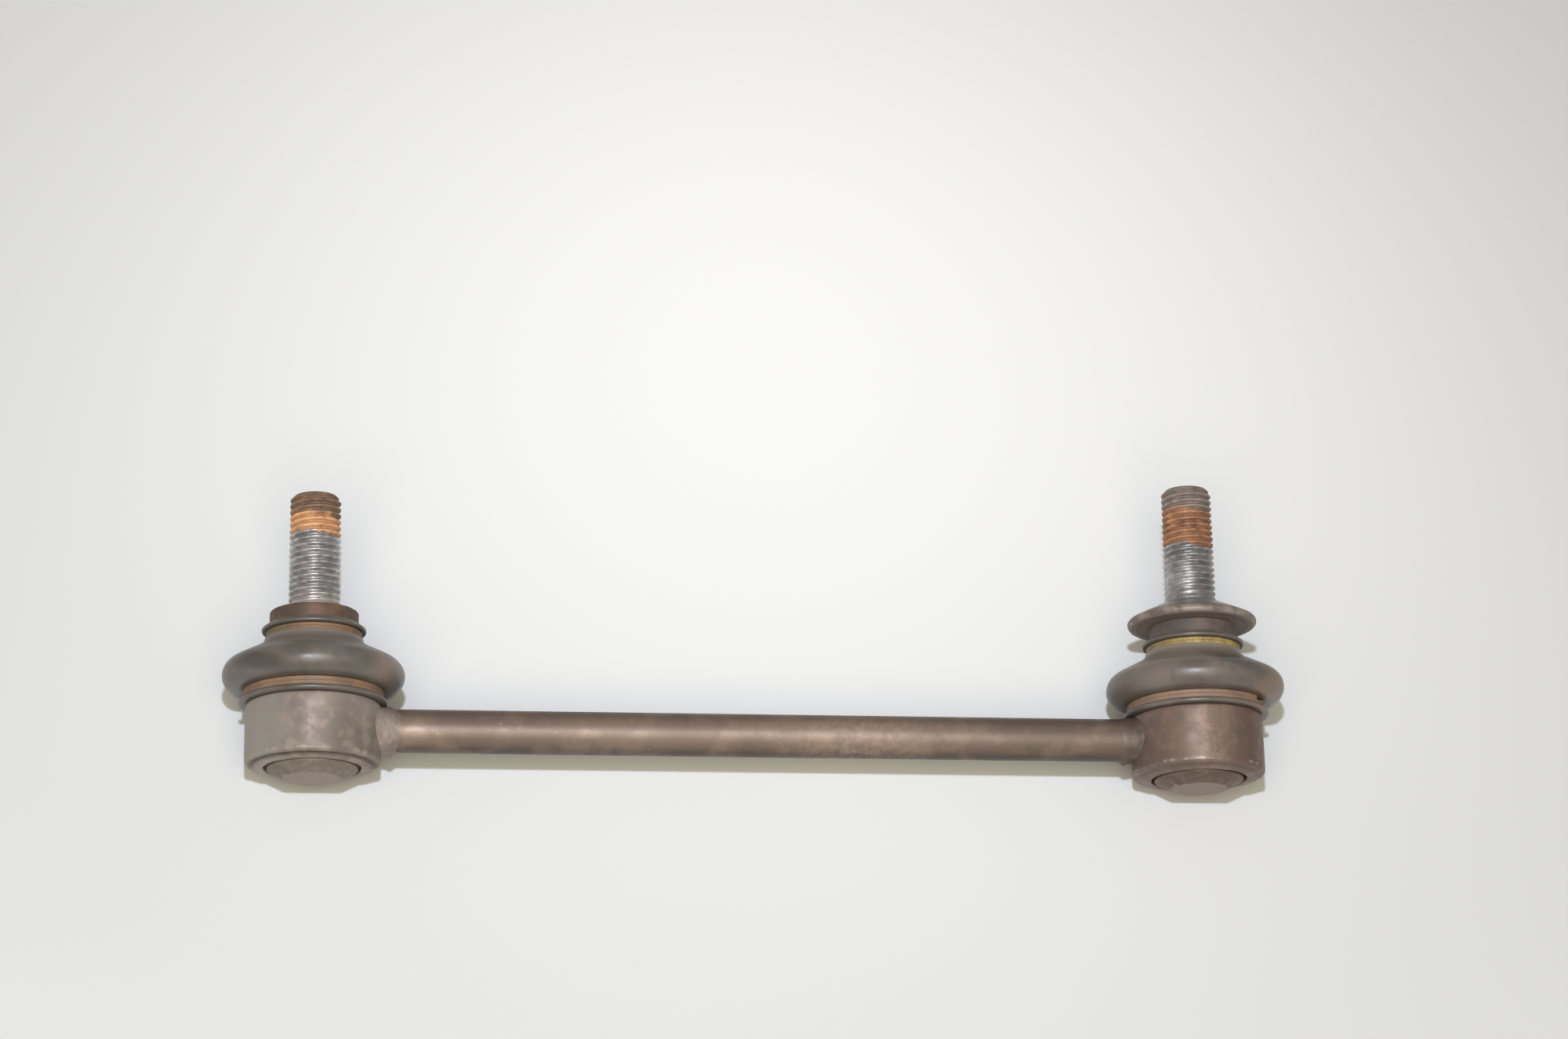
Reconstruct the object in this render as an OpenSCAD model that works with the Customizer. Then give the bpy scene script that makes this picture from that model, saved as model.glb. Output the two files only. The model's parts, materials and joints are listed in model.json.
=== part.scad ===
// Stabilizer link: a round rod welded between two ball joints whose threaded
// studs point the same way. Lengths are in millimetres, angles in degrees.
// Each joint is drawn about its own ball centre, with +Z along its stud, and the
// finished link is then laid on a flat surface, resting on its boots and housings.

/* [Link] */
// Distance between the two ball centres
link_length = 206; // [150:1:320]
// Diameter of the rod
rod_d = 10; // [8:0.5:12]
// How far the weld stands proud of the rod
weld_h = 0.4; // [0.4:0.1:1.2]
// How far the weld runs out along the rod
weld_run = 2.2; // [1.2:0.1:4]

/* [Ball stud] */
// Diameter of the ball
ball_d = 17.4; // [17:0.1:20]
// Diameter of the neck above the ball
neck_d = 10; // [8.5:0.1:10.5]
// Largest tilt of the stud from square
tilt_limit = 25.5; // [18:0.5:27]
// Diameter of the land that the boot seals on
land_d = 16; // [15:0.1:17]
// Height of the collar's lower face above the ball centre
collar_z = 23.9; // [23.5:0.1:28]
// Diameter of the collar
collar_d = 20.4; // [18:0.1:23]
// Height of the collar
collar_h = 3.7; // [2:0.1:6]
// Outside diameter of the thread
thread_d = 11.9; // [9.9:0.1:13.9]
// Length of each thread above its seat
thread_length = 27.9; // [18:0.1:40]
// Chamfer at the end of the thread
thread_chamfer = 1.1; // [0.5:0.1:2]
// Width across the flats of the key socket in the stud's end
socket_flats = 5; // [4:0.5:6]
// Depth of the key socket
socket_depth = 5; // [3:0.5:8]

/* [Cone washer] */
// Diameter of the washer's rim
cone_d = 30.4; // [24:0.1:34]
// Height of the washer
cone_h = 5.8; // [4:0.1:7]
// Thickness of the washer's rim
cone_rim_t = 2; // [1:0.1:2.6]
// Thickness of the washer's edge around its bore
cone_edge_t = 0.2; // [0.1:0.1:1]
// How far the washer's seat on the stud stands proud of the thread
washer_step = 0.25; // [0.1:0.05:0.5]

/* [Housing] */
// Wall of the housing around the end cap
housing_wall_t = 3; // [2.4:0.1:4]
// Height of the housing's shoulder above the weld
shoulder_rise = 0.1; // [0.1:0.1:2]
// Radius of the housing's lower outer edge
housing_edge_r = 1; // [0.6:0.1:1.6]
// Width of the ledge that the end cap seats on
cap_ledge = 1.2; // [0.6:0.1:2]
// How far the rolled rim reaches over the end cap
rim_cover = 1.4; // [0.8:0.1:2]
// Thickness of the rolled rim at its opening
rim_t = 1.5; // [1.3:0.1:2]
// How far the rolled rim slopes back from its opening to the wall
rim_rise = 1.2; // [0.4:0.1:1.6]
// Wall of the spigot that the boot grips
spigot_wall_t = 2.7; // [2:0.1:3.2]
// Height of the spigot above the shoulder
spigot_h = 4; // [3.4:0.1:4.4]

/* [Ball seat and end cap] */
// Wall of the ball seat beside the ball
seat_wall_t = 2.5; // [1.6:0.1:3]
// Thickness of the ball seat under the ball
seat_floor_t = 1.3; // [0.8:0.1:2]
// Diameter of the grease hole in the ball seat
seat_hole_d = 5; // [3:0.5:8]
// Thickness of the end cap
cap_t = 1.3; // [1:0.1:1.5]
// Depth of the end cap's dome below the rolled rim
cap_dome = 2; // [1.6:0.1:3]
// Diameter of the flat on the end cap's dome
cap_flat_d = 13.2; // [10:0.1:16]
// Gap left between the rolled rim and the dome
cap_gap = 0.7; // [0.3:0.1:1]

/* [Boot] */
// Largest diameter of the boot
boot_d = 41.8; // [40.5:0.1:46]
// Radius of the boot's rolled edge
boot_roll_r = 3.75; // [3:0.05:4]
// Wall thickness of the boot
boot_wall = 1.5; // [1:0.1:1.8]
// Slope of the boot's shoulder
boot_slope = 29; // [22:1:34]
// How far the boot's neck stands out from the upper ring's groove
boot_neck_step = 1.35; // [0.8:0.05:2]
// Thickness of the boot's lips
lip_t = 1.2; // [1:0.1:1.6]
// How far the lower lip stands out past its ring
lower_lip_reach = 0.8; // [0.2:0.05:1.2]
// How far the upper lip stands out past its ring
upper_lip_reach = 0.95; // [0.2:0.05:1.2]

/* [Clamp rings] */
// Radial thickness of the lower ring's wire
lower_wire_w = 1.45; // [0.8:0.05:1.6]
// Height of one turn of the lower ring
lower_wire_h = 0.95; // [0.7:0.05:1.1]
// Rubber between the spigot and the lower ring
lower_grip_t = 1.3; // [1:0.1:1.5]
// Radial thickness of the upper ring's wire
upper_wire_w = 1.05; // [0.6:0.05:1.2]
// Height of one turn of the upper ring
upper_wire_h = 0.75; // [0.5:0.05:0.9]
// Rubber between the stud's land and the upper ring
upper_grip_t = 1.9; // [1.5:0.1:2.4]
// Turns of wire in each ring
ring_turns = 2; // [2:1:3]
// Length left open past each end of the wire
wire_gap = 3; // [1:0.5:6]

/* [Fits] */
// Clearance between the ball and its seat
ball_clearance = 0.05; // [0.02:0.01:0.1]
// Clearance between pieces that are pressed or clamped together
fit_clearance = 0.05; // [0.02:0.01:0.1]
// Clearance between the housing and the neck of the fully tilted stud
swing_clearance = 0.6; // [0.3:0.1:0.8]

/* [Hidden] */
$fn = 96;

LEFT = -1;
RIGHT = 1;

// Small roundings and reliefs that follow no other size
shoulder_round = 0.6;
rim_round = 0.4;
spigot_chamfer = 0.4;
collar_round = 0.5;
throat_h = 1;
throat_drop = 0.8;
flare_h = 3.2;
land_drop = 1;
cap_corner_r = 1;
wire_chamfer = 0.22;
turn_web = 0.06;
lower_end_angle = -30;
upper_end_angle = 150;

rod_r = rod_d / 2;
ball_r = ball_d / 2;
neck_r = neck_d / 2;
land_r = land_d / 2;
collar_r = collar_d / 2;
thread_r = thread_d / 2;
cone_r = cone_d / 2;
boot_r = boot_d / 2;
lip_r = lip_t / 2;

// Heights above the ball centre, from the end cap up to the boot
seat_floor_z = -(ball_r + ball_clearance + seat_floor_t);
dome_z = seat_floor_z - fit_clearance - cap_t;
rim_z = dome_z + cap_dome;
cap_recess_z = rim_z + rim_t;
cap_ledge_z = cap_recess_z + cap_t + 2 * fit_clearance;
shoulder_z = rod_r + weld_h + shoulder_rise;
throat_z = shoulder_z - throat_drop;
seat_top_z = throat_z - throat_h;
spigot_top_z = shoulder_z + spigot_h;
lower_lip_z = shoulder_z + fit_clearance;
lower_groove_z = lower_lip_z + lip_t;
roll_bottom_z = lower_groove_z + ring_turns * lower_wire_h + 2 * fit_clearance;

// Heights above the ball centre, from the stud's collar down to the boot and up to the tips
upper_lip_top_z = collar_z - fit_clearance;
upper_groove_top_z = upper_lip_top_z - lip_t;
upper_groove_z = upper_groove_top_z - ring_turns * upper_wire_h - 2 * fit_clearance;
land_z = upper_groove_z - land_drop;
seat_face_z = collar_z + collar_h;
cone_top_z = seat_face_z + cone_h;
left_tip_z = seat_face_z + thread_length;
right_tip_z = cone_top_z + thread_length;

// Radii of the housing, which leaves room for the neck of the tilted stud
function swept_r(z) = neck_r / cos(tilt_limit) + z * tan(tilt_limit) + swing_clearance;
seat_bore_r = ball_r + ball_clearance + seat_wall_t + fit_clearance;
cap_recess_r = seat_bore_r + cap_ledge;
rim_opening_r = cap_recess_r - rim_cover;
housing_r = cap_recess_r + housing_wall_t;
throat_r = swept_r(throat_z);
mouth_r = swept_r(spigot_top_z);
spigot_r = mouth_r + spigot_wall_t;

// Radii of the boot's beads, from what each one grips out to its lip
grip_r = spigot_r + fit_clearance;
lower_groove_r = grip_r + lower_grip_t;
lower_lip_r = lower_groove_r + fit_clearance + lower_wire_w + lower_lip_reach;
seal_r = land_r + fit_clearance;
upper_groove_r = seal_r + upper_grip_t;
upper_lip_r = upper_groove_r + fit_clearance + upper_wire_w + upper_lip_reach;
boot_neck_r = upper_groove_r + boot_neck_step;

// Radii of the cone washer's seat and bore
washer_seat_r = thread_r + washer_step;
cone_bore_r = washer_seat_r + fit_clearance;

// Centres, in radius and height, of the boot's rolled edge, the housing's edges and the dome's corner
roll_centre = [boot_r - boot_roll_r, roll_bottom_z + boot_roll_r];
rim_slope = atan2(rim_rise, housing_r - rim_opening_r);
rim_centre = [rim_opening_r + rim_round, rim_z + rim_round * tan(45 + rim_slope / 2)];
edge_centre = [housing_r - housing_edge_r, rim_z + rim_rise + housing_edge_r * tan(45 - rim_slope / 2)];
dome_side_r = rim_opening_r - cap_gap;
dome_slope = atan2(cap_dome, dome_side_r - cap_flat_d / 2);
dome_centre = [cap_flat_d / 2 - cap_corner_r * tan(dome_slope / 2), dome_z + cap_corner_r];

// The resting plane touches the boot's rolled edge and the housing's lower edge
edge_to_roll = roll_centre - edge_centre;
lay_angle = atan2(edge_to_roll[0], edge_to_roll[1])
    + asin((boot_roll_r - housing_edge_r) / norm(edge_to_roll));
ball_height = boot_roll_r + roll_centre[0] * cos(lay_angle) - roll_centre[1] * sin(lay_angle);

// How far along the surface a round edge on the upper side of a joint reaches
function upper_reach(centre, r) = centre[1] * cos(lay_angle) - centre[0] * sin(lay_angle) - r;

// The origin lies under the middle of the laid link
tip_reach = right_tip_z * cos(lay_angle) + (thread_r - thread_chamfer) * sin(lay_angle);
cap_reach = min(upper_reach(dome_centre, cap_corner_r), upper_reach(rim_centre, rim_round),
    upper_reach(edge_centre, housing_edge_r));
rod_y = -(tip_reach + cap_reach) / 2;

// Points along a circular arc
function arc(centre, r, from, to, steps = 10) =
    [for (i = [0:steps]) let (a = from + (to - from) * i / steps) centre + r * [cos(a), sin(a)]];

// Points along a cubic curve between its two ends
function curve(start, start_handle, end_handle, end, steps = 12) =
    [for (i = [0:steps]) let (t = i / steps, s = 1 - t)
        pow(s, 3) * start + 3 * s * s * t * start_handle + 3 * s * t * t * end_handle + pow(t, 3) * end];

function reversed(points) = [for (i = [len(points) - 1:-1:0]) points[i]];

// Carries a joint drawn about its ball centre to its end of the laid link
module at_joint(side) {
    translate([side * link_length / 2, rod_y, ball_height])
        rotate([lay_angle - 90, 0, 0])
            children();
}

// Carries a shape drawn about the rod's axis, from its middle, onto the laid link
module along_rod() {
    translate([0, rod_y, ball_height])
        rotate([lay_angle - 90, 0, 0])
            rotate([0, 90, 0])
                children();
}

// The space inside a housing's outer wall, as seen from the rod's own axis
module housing_space(side) {
    translate([0, 0, side * link_length / 2])
        rotate([0, 90, 0])
            cylinder(r = housing_r, h = 4 * housing_r, center = true);
}

// Round bar whose ends are cut to sit against the housings
module link_rod() {
    color("#6f625b")
        along_rod()
            difference() {
                cylinder(r = rod_r, h = link_length - housing_r, center = true);
                for (side = [LEFT, RIGHT])
                    housing_space(side);
            }
}

// Ring of weld upset around one end of the rod
module weld(side) {
    wall_z = link_length / 2 - housing_r;
    inner_z = wall_z + housing_r / 2;
    crest_r = rod_r + weld_h;
    color("#7a6c64")
        along_rod()
            difference() {
                mirror([0, 0, side == LEFT ? 1 : 0])
                    rotate_extrude()
                        polygon(concat(
                            [[rod_r, inner_z]],
                            curve([rod_r, wall_z - weld_run], [rod_r + weld_h / 2, wall_z - weld_run],
                                [crest_r, wall_z - weld_run / 2], [crest_r, wall_z], 6),
                            [[crest_r, inner_z]]
                        ));
                housing_space(side);
            }
}

// Turned cup, bored from below, with a sloping rolled rim at the bottom and a spigot for the boot
module housing(side) {
    color("#75685f")
        at_joint(side)
            rotate_extrude()
                polygon(concat(
                    arc(rim_centre, rim_round, 180, 270 + rim_slope, 4),
                    arc(edge_centre, housing_edge_r, rim_slope - 90, 0),
                    arc([housing_r - shoulder_round, shoulder_z - shoulder_round], shoulder_round, 0, 90, 4),
                    [
                        [spigot_r, shoulder_z],
                        [spigot_r, spigot_top_z - spigot_chamfer],
                        [spigot_r - spigot_chamfer, spigot_top_z],
                        [mouth_r, spigot_top_z],
                        [throat_r, throat_z],
                        [throat_r, seat_top_z],
                        [seat_bore_r, seat_top_z],
                        [seat_bore_r, cap_ledge_z],
                        [cap_recess_r, cap_ledge_z],
                        [cap_recess_r, cap_recess_z],
                        [rim_opening_r, cap_recess_z]
                    ]
                ));
}

// Inner corners of the dome's side, top and foot, moved inwards by the given thickness
function dome_side(inset) = [
    [dome_side_r - inset, rim_z + inset * tan(45 - dome_slope / 2)],
    [cap_flat_d / 2 - inset * tan(dome_slope / 2), dome_z + inset]
];

// Pressed cap that closes the housing, held under the rolled rim
module end_cap(side) {
    inner = dome_side(cap_t);
    flange_r = cap_recess_r - fit_clearance;
    flange_z = cap_recess_z + fit_clearance;
    flange_top_z = flange_z + cap_t;
    color("#81756c")
        at_joint(side)
            rotate_extrude()
                polygon(concat(
                    [[0, dome_z]],
                    arc(dome_centre, cap_corner_r, -90, dome_slope - 90, 6),
                    [
                        [dome_side_r, rim_z],
                        [dome_side_r, flange_z],
                        [flange_r, flange_z],
                        [flange_r, flange_top_z],
                        [inner[0][0], flange_top_z],
                        inner[0],
                        inner[1],
                        [0, inner[1][1]]
                    ]
                ));
}

// Plastic liner that the ball turns in, with a plug that fills the end cap
module ball_seat(side) {
    plug = dome_side(cap_t + fit_clearance);
    outside_r = seat_bore_r - fit_clearance;
    ledge_z = cap_ledge_z + fit_clearance;
    top_z = seat_top_z - fit_clearance;
    color("ivory")
        at_joint(side)
            difference() {
                rotate_extrude()
                    polygon([
                        [0, plug[1][1]],
                        plug[1],
                        plug[0],
                        [plug[0][0], ledge_z],
                        [outside_r, ledge_z],
                        [outside_r, top_z],
                        [0, top_z]
                    ]);
                sphere(r = ball_r + ball_clearance);
                translate([0, 0, dome_z])
                    cylinder(d = seat_hole_d, h = -dome_z);
            }
}

// Ball, neck, sealing land, collar and threaded shank in one forging
module ball_stud(side) {
    tip_z = side == LEFT ? left_tip_z : right_tip_z;
    washer_seat = [[washer_seat_r, seat_face_z], [washer_seat_r, cone_top_z]];
    color("#9a948d")
        at_joint(side)
            difference() {
                union() {
                    sphere(r = ball_r);
                    rotate_extrude()
                        polygon(concat(
                            [
                                [0, 0],
                                [neck_r, 0],
                                [neck_r, land_z - flare_h],
                                [land_r, land_z],
                                [land_r, collar_z]
                            ],
                            arc([collar_r - collar_round, collar_z + collar_round], collar_round, -90, 0, 4),
                            arc([collar_r - collar_round, seat_face_z - collar_round], collar_round, 0, 90, 4),
                            side == LEFT ? [] : washer_seat,
                            [
                                [thread_r, tip_z - thread_length],
                                [thread_r, tip_z - thread_chamfer],
                                [thread_r - thread_chamfer, tip_z],
                                [0, tip_z]
                            ]
                        ));
                }
                translate([0, 0, tip_z - socket_depth])
                    cylinder(d = socket_flats / cos(30), h = 2 * socket_depth, $fn = 6);
            }
}

// Conical washer pressed onto the right stud, against its collar
module cone_washer() {
    rim_r = cone_rim_t / 2;
    color("#8d857c")
        at_joint(RIGHT)
            rotate_extrude()
                polygon(concat(
                    [[cone_bore_r, seat_face_z]],
                    arc([cone_r - rim_r, seat_face_z + rim_r], rim_r, -90, 60, 8),
                    [[cone_bore_r + cone_edge_t, cone_top_z], [cone_bore_r, cone_top_z]]
                ));
}

// The boot's outer line, or its inner one when moved inwards by the wall's thickness
function boot_side(inset) =
    let (
        roll_end = 90 - boot_slope,
        start = roll_centre + (boot_roll_r - inset) * [cos(roll_end), sin(roll_end)],
        end = [boot_neck_r - inset, upper_groove_z - inset / 2],
        reach = (start[0] - end[0]) / 2
    )
    concat(
        arc(roll_centre, boot_roll_r - inset, -90, roll_end, 16),
        curve(start, start + reach * [-cos(boot_slope), sin(boot_slope)], end - [0, reach / 2], end)
    );

// Rubber dust boot: a rolled bag with a grooved bead at each end
module boot(side) {
    color("#4a4644")
        at_joint(side)
            rotate_extrude()
                polygon(concat(
                    [[grip_r, lower_lip_z]],
                    arc([lower_lip_r - lip_r, lower_lip_z + lip_r], lip_r, -90, 90, 8),
                    [[lower_groove_r, lower_groove_z], [lower_groove_r, roll_bottom_z]],
                    boot_side(0),
                    [[upper_groove_r, upper_groove_z], [upper_groove_r, upper_groove_top_z]],
                    arc([upper_lip_r - lip_r, upper_groove_top_z + lip_r], lip_r, -90, 90, 8),
                    [[seal_r, upper_lip_top_z], [seal_r, upper_groove_z]],
                    reversed(boot_side(boot_wall)),
                    [[grip_r, roll_bottom_z + boot_wall]]
                ));
}

// Flat wire wound into a spring ring, with room past its lower and its upper end
module clamp_ring(side, groove_r, groove_z, wire_w, wire_h, end_angle) {
    inner_r = groove_r + fit_clearance;
    edge_r = inner_r + wire_w - wire_chamfer;
    bottom_z = groove_z + fit_clearance;
    top_z = bottom_z + ring_turns * wire_h;
    color("#8a5a3a")
        at_joint(side)
            difference() {
                rotate_extrude()
                    polygon(concat(
                        [[inner_r, bottom_z]],
                        [for (z = [bottom_z:wire_h:top_z - wire_h / 2]) each [
                            [edge_r, z],
                            [inner_r + wire_w, z + wire_chamfer],
                            [inner_r + wire_w, z + wire_h - wire_chamfer]
                        ]],
                        [[edge_r, top_z], [inner_r, top_z]]
                    ));
                rotate([0, 0, end_angle]) {
                    translate([inner_r - wire_w, -wire_gap, bottom_z - turn_web])
                        cube([3 * wire_w, wire_gap, wire_h]);
                    translate([inner_r - wire_w, 0, top_z - wire_h + turn_web])
                        cube([3 * wire_w, wire_gap, wire_h]);
                }
            }
}

module lower_ring(side) {
    clamp_ring(side, lower_groove_r, lower_groove_z, lower_wire_w, lower_wire_h, lower_end_angle);
}

module upper_ring(side) {
    clamp_ring(side, upper_groove_r, upper_groove_z, upper_wire_w, upper_wire_h, upper_end_angle);
}

link_rod();
weld(LEFT);  // left_weld
weld(RIGHT);  // right_weld
housing(LEFT);  // left_housing
housing(RIGHT);  // right_housing
end_cap(LEFT);  // left_end_cap
end_cap(RIGHT);  // right_end_cap
ball_seat(LEFT);  // left_ball_seat
ball_seat(RIGHT);  // right_ball_seat
ball_stud(LEFT);  // left_ball_stud
ball_stud(RIGHT);  // right_ball_stud
cone_washer();  // right_cone_washer
boot(LEFT);  // left_boot
boot(RIGHT);  // right_boot
lower_ring(LEFT);  // left_boot_lower_ring
lower_ring(RIGHT);  // right_boot_lower_ring
upper_ring(LEFT);  // left_boot_upper_ring
upper_ring(RIGHT);  // right_boot_upper_ring
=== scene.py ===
"""Looks of a used stabilizer link: worn rod and welds, sealed ball joints, dusty boots and rusty threads.

Pieces are drawn in millimetres in their joint's own frame. The ball centre is its origin, +Z runs along
the stud, +X along the rod and -Y to the upper side of the lying link. Each mesh keeps those places in an
attribute that the finishes are drawn in, so that they stay on the surface when the joints move.
"""
import json
import math

import bmesh
import bpy
from mathutils import Matrix, Vector, noise


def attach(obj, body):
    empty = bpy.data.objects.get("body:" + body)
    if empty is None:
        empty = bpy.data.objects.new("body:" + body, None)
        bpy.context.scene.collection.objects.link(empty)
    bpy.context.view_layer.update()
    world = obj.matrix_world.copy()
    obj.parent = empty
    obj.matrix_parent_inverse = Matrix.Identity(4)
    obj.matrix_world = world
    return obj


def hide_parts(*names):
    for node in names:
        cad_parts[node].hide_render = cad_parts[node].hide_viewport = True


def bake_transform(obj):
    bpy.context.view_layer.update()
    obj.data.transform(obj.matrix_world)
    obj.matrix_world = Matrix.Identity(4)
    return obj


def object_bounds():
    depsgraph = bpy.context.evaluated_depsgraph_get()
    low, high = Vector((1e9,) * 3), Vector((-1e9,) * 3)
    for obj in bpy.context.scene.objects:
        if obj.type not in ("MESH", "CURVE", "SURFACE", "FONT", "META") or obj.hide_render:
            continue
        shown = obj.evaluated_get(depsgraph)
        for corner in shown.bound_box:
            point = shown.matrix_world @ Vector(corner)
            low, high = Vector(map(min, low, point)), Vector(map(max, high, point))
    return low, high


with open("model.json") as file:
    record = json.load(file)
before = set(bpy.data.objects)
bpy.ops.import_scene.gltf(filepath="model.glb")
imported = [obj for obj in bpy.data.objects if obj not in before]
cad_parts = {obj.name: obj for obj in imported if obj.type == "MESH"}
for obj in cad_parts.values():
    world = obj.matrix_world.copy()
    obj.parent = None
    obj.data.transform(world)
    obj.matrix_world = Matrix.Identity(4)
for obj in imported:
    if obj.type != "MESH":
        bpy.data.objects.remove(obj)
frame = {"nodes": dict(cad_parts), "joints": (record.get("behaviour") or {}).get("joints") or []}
cad_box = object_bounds()

MM = 0.001
SIDES = ("left", "right")
# Which way the rod leaves each joint, along X
ROD_WAY = {"left": 1, "right": -1}
PLACE = "place"
SHARP_EDGE = math.radians(38)
POLE = 1e-6
# Seeds of the unevenness, for each kind of piece
SEEDS = {
    "housing": {"left": 3.1, "right": 8.7},
    "cap": {"left": 1.3, "right": 6.2},
    "washer": {"right": 4.4},
    "stud": {"left": 2.9, "right": 5.6},
    "boot": {"left": 7.4, "right": 0.6},
    "ring": {"left": 9.3, "right": 4.8},
    "weld": {"left": 5.2, "right": 1.7},
}

# Ball stud: radii, and heights above the ball centre
BALL_R = 8.7
NECK_R = 5
FLARE_H = 3.2
LAND_R = 8
LAND_Z = 20.05
COLLAR_R = 10.2
COLLAR_Z = 23.9
COLLAR_ROUND = 0.5
SEAT_FACE_Z = 27.6
WASHER_SEAT_R = 6.2
THREAD_R = 5.95
THREAD_PITCH = 1.5
THREAD_DEPTH = 0.86
THREAD_START_Z = {"left": 27.6, "right": 33.4}
THREAD_RUN_OUT = {"left": 1.0, "right": 3.2}
TIP_Z = {"left": 55.5, "right": 61.3}
TIP_CHAMFER = 1.1
SOCKET_FLATS = 5
SOCKET_DEPTH = 5
SOCKET_BEVEL = 0.3
SHANK_FILLET = 0.5
STEPS_PER_TURN = 14
# Wear of the stud: how deep, and how large its lumps are
COLLAR_DENT = 0.05
COLLAR_GRAIN = 3
SCUFF_DEPTH = 0.1
SCUFF_GRAIN = 1.8
RUST_DEPTH = 0.05
RUST_GRAIN = 0.9
# Flattened side of the right thread
FLAT_SHARE = 0.6
FLAT_SIDE = math.radians(215)

# Cone washer
CONE_R = 15.2
CONE_BORE_R = 6.25
CONE_EDGE_T = 0.2
CONE_RIM_T = 2
CONE_TOP_Z = 33.4
WORN_CONE_R = 12.8
NICK_DEPTH = 0.14
NICK_GRAIN = 2.6
NICK_REACH = 2.5

# Housing and end cap
HOUSING_R = 15.5
RIM_Z = -9.4
RIM_RISE = 1.2
RIM_OPENING_R = 11.1
RIM_ROUND = 0.4
HOUSING_EDGE_R = 1
CREASE_R = 13.9
CREASE_W = 0.75
CREASE_DEPTH = {"left": 0.3, "right": 0.14}
DENT_DEPTH = 0.07
DENT_GRAIN = 4.5
RAGGED_OPENING = 0.16
RAGGED_RIM = 0.07
RAGGED_GRAIN = 3.2
SHOULDER_Z = 5.5
SHOULDER_ROUND = 0.6
SPIGOT_R = 13.37
SPIGOT_TOP_Z = 9.5
SPIGOT_CHAMFER = 0.4
MOUTH_R = 10.67
THROAT_R = 8.38
THROAT_Z = 4.7
SEAT_TOP_Z = 3.7
SEAT_BORE_R = 11.3
CAP_RECESS_R = 12.5
CAP_RECESS_Z = -7.9
CAP_LEDGE_Z = -6.5
CAP_T = 1.3
CAP_FIT = 0.05
DOME_Z = -11.4
DOME_SIDE_R = 10.4
DOME_FLAT_R = 6.6
DOME_CORNER_R = 1
CAP_SIDE_ROUND = 0.4
CAP_LUMP_H = 0.06
CAP_LUMP_GRAIN = 3.5

# Boot
GRIP_R = 13.42
LOWER_LIP_Z = 5.55
LOWER_LIP_R = 17.02
LIP_T = 1.2
LOWER_GROOVE_R = 14.72
LOWER_GROOVE_Z = 6.75
ROLL_R = 3.75
ROLL_CENTRE = (17.15, 12.5)
BOOT_WALL = 1.5
BOOT_SLOPE = 29
BOOT_NECK_R = 11.3
UPPER_GROOVE_R = 9.95
UPPER_GROOVE_Z = 21.05
UPPER_LIP_Z = 22.65
UPPER_LIP_R = 12
UPPER_LIP_EDGE_R = 0.45
SEAL_R = 8.05
BEAD_R = 0.38
SLACK_DEPTH = 0.18
SLACK_GRAIN = 11
LIP_WAVE_H = 0.1
LIP_WAVE_GRAIN = 7

# Spring rings of flat wire: inner radius, height of the underside, width and height of the wire
RING_WIRE = {
    "lower": (14.77, 6.8, 1.45, 0.95),
    "upper": (10.0, 21.1, 1.05, 0.75),
}
WIRE_CHAMFER = 0.1
WIRE_END_GAP = 3
WIRE_SWAY = 0.05
WIRE_STATIONS = 300
# Where each wire ends, and how far around its step to the second turn reaches, in degrees
RING_ENDS = {
    ("left", "lower"): (150, 24),
    ("right", "lower"): (-22, 16),
    ("left", "upper"): (150, 24),
    ("right", "upper"): (150, 24),
}

# Weld between rod and housing
ROD_R = 5
WELD_RUN = 3.4
WELD_SIDE_RUN = 1.4
WELD_H = 0.42
WELD_SIDE_H = 1.3
WELD_SINK = 0.15
WELD_OVERLAP = 0.2
WELD_RUN_WANDER = 0.7
WELD_LUMP_H = 0.07
# Burrs of flash: angle around the rod in degrees, and height
BURRS = {
    "left": ((84, 0.5), (-78, 0.75), (-35, 0.3)),
    "right": ((-70, 0.55), (-100, 0.4)),
}
BURR_WIDTH = 13
BURR_MIDDLE = 0.35
BURR_REACH = 0.22


def joint_frame(side):
    """Matrix that carries millimetres in a joint's own frame to metres in the row frame."""
    spin = next(joint for joint in frame["joints"] if joint["name"] == f"{side}_spin")
    along = Vector(spin["axis"]).normalized()
    across = Vector((1, 0, 0))
    down = along.cross(across)
    turn = Matrix((across, down, along)).transposed().to_4x4()
    return Matrix.Translation(spin["pos_m"]) @ turn @ Matrix.Scale(MM, 4)


# Outlines, as lists of (radius, height)


def arc(centre, radius, start, end, steps=8):
    """Points along a circular arc between two angles in degrees."""
    points = []
    for i in range(steps + 1):
        angle = math.radians(start + (end - start) * i / steps)
        points.append((centre[0] + radius * math.cos(angle), centre[1] + radius * math.sin(angle)))
    return points


def line(start, end, steps):
    """Points along a straight stretch, without its two ends."""
    shares = [i / steps for i in range(1, steps)]
    return [(start[0] + (end[0] - start[0]) * t, start[1] + (end[1] - start[1]) * t) for t in shares]


def curve(start, start_handle, end_handle, end, steps=14):
    """Points along a cubic curve."""
    points = []
    for i in range(steps + 1):
        t = i / steps
        weights = ((1 - t) ** 3, 3 * (1 - t) ** 2 * t, 3 * (1 - t) * t * t, t ** 3)
        pulls = (start, start_handle, end_handle, end)
        points.append(tuple(sum(w * p[k] for w, p in zip(weights, pulls)) for k in range(2)))
    return points


def ease(low, high, value):
    """0 up to low, 1 from high, and a smooth rise between them."""
    t = min(1, max(0, (value - low) / (high - low)))
    return t * t * (3 - 2 * t)


def unevenness(x, y, z, grain, seed):
    """Smooth noise between about -1 and 1 whose lumps are grain millimetres across."""
    return noise.noise(Vector((x / grain + seed, y / grain - seed, z / grain + 2 * seed)))


# Meshes


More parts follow.
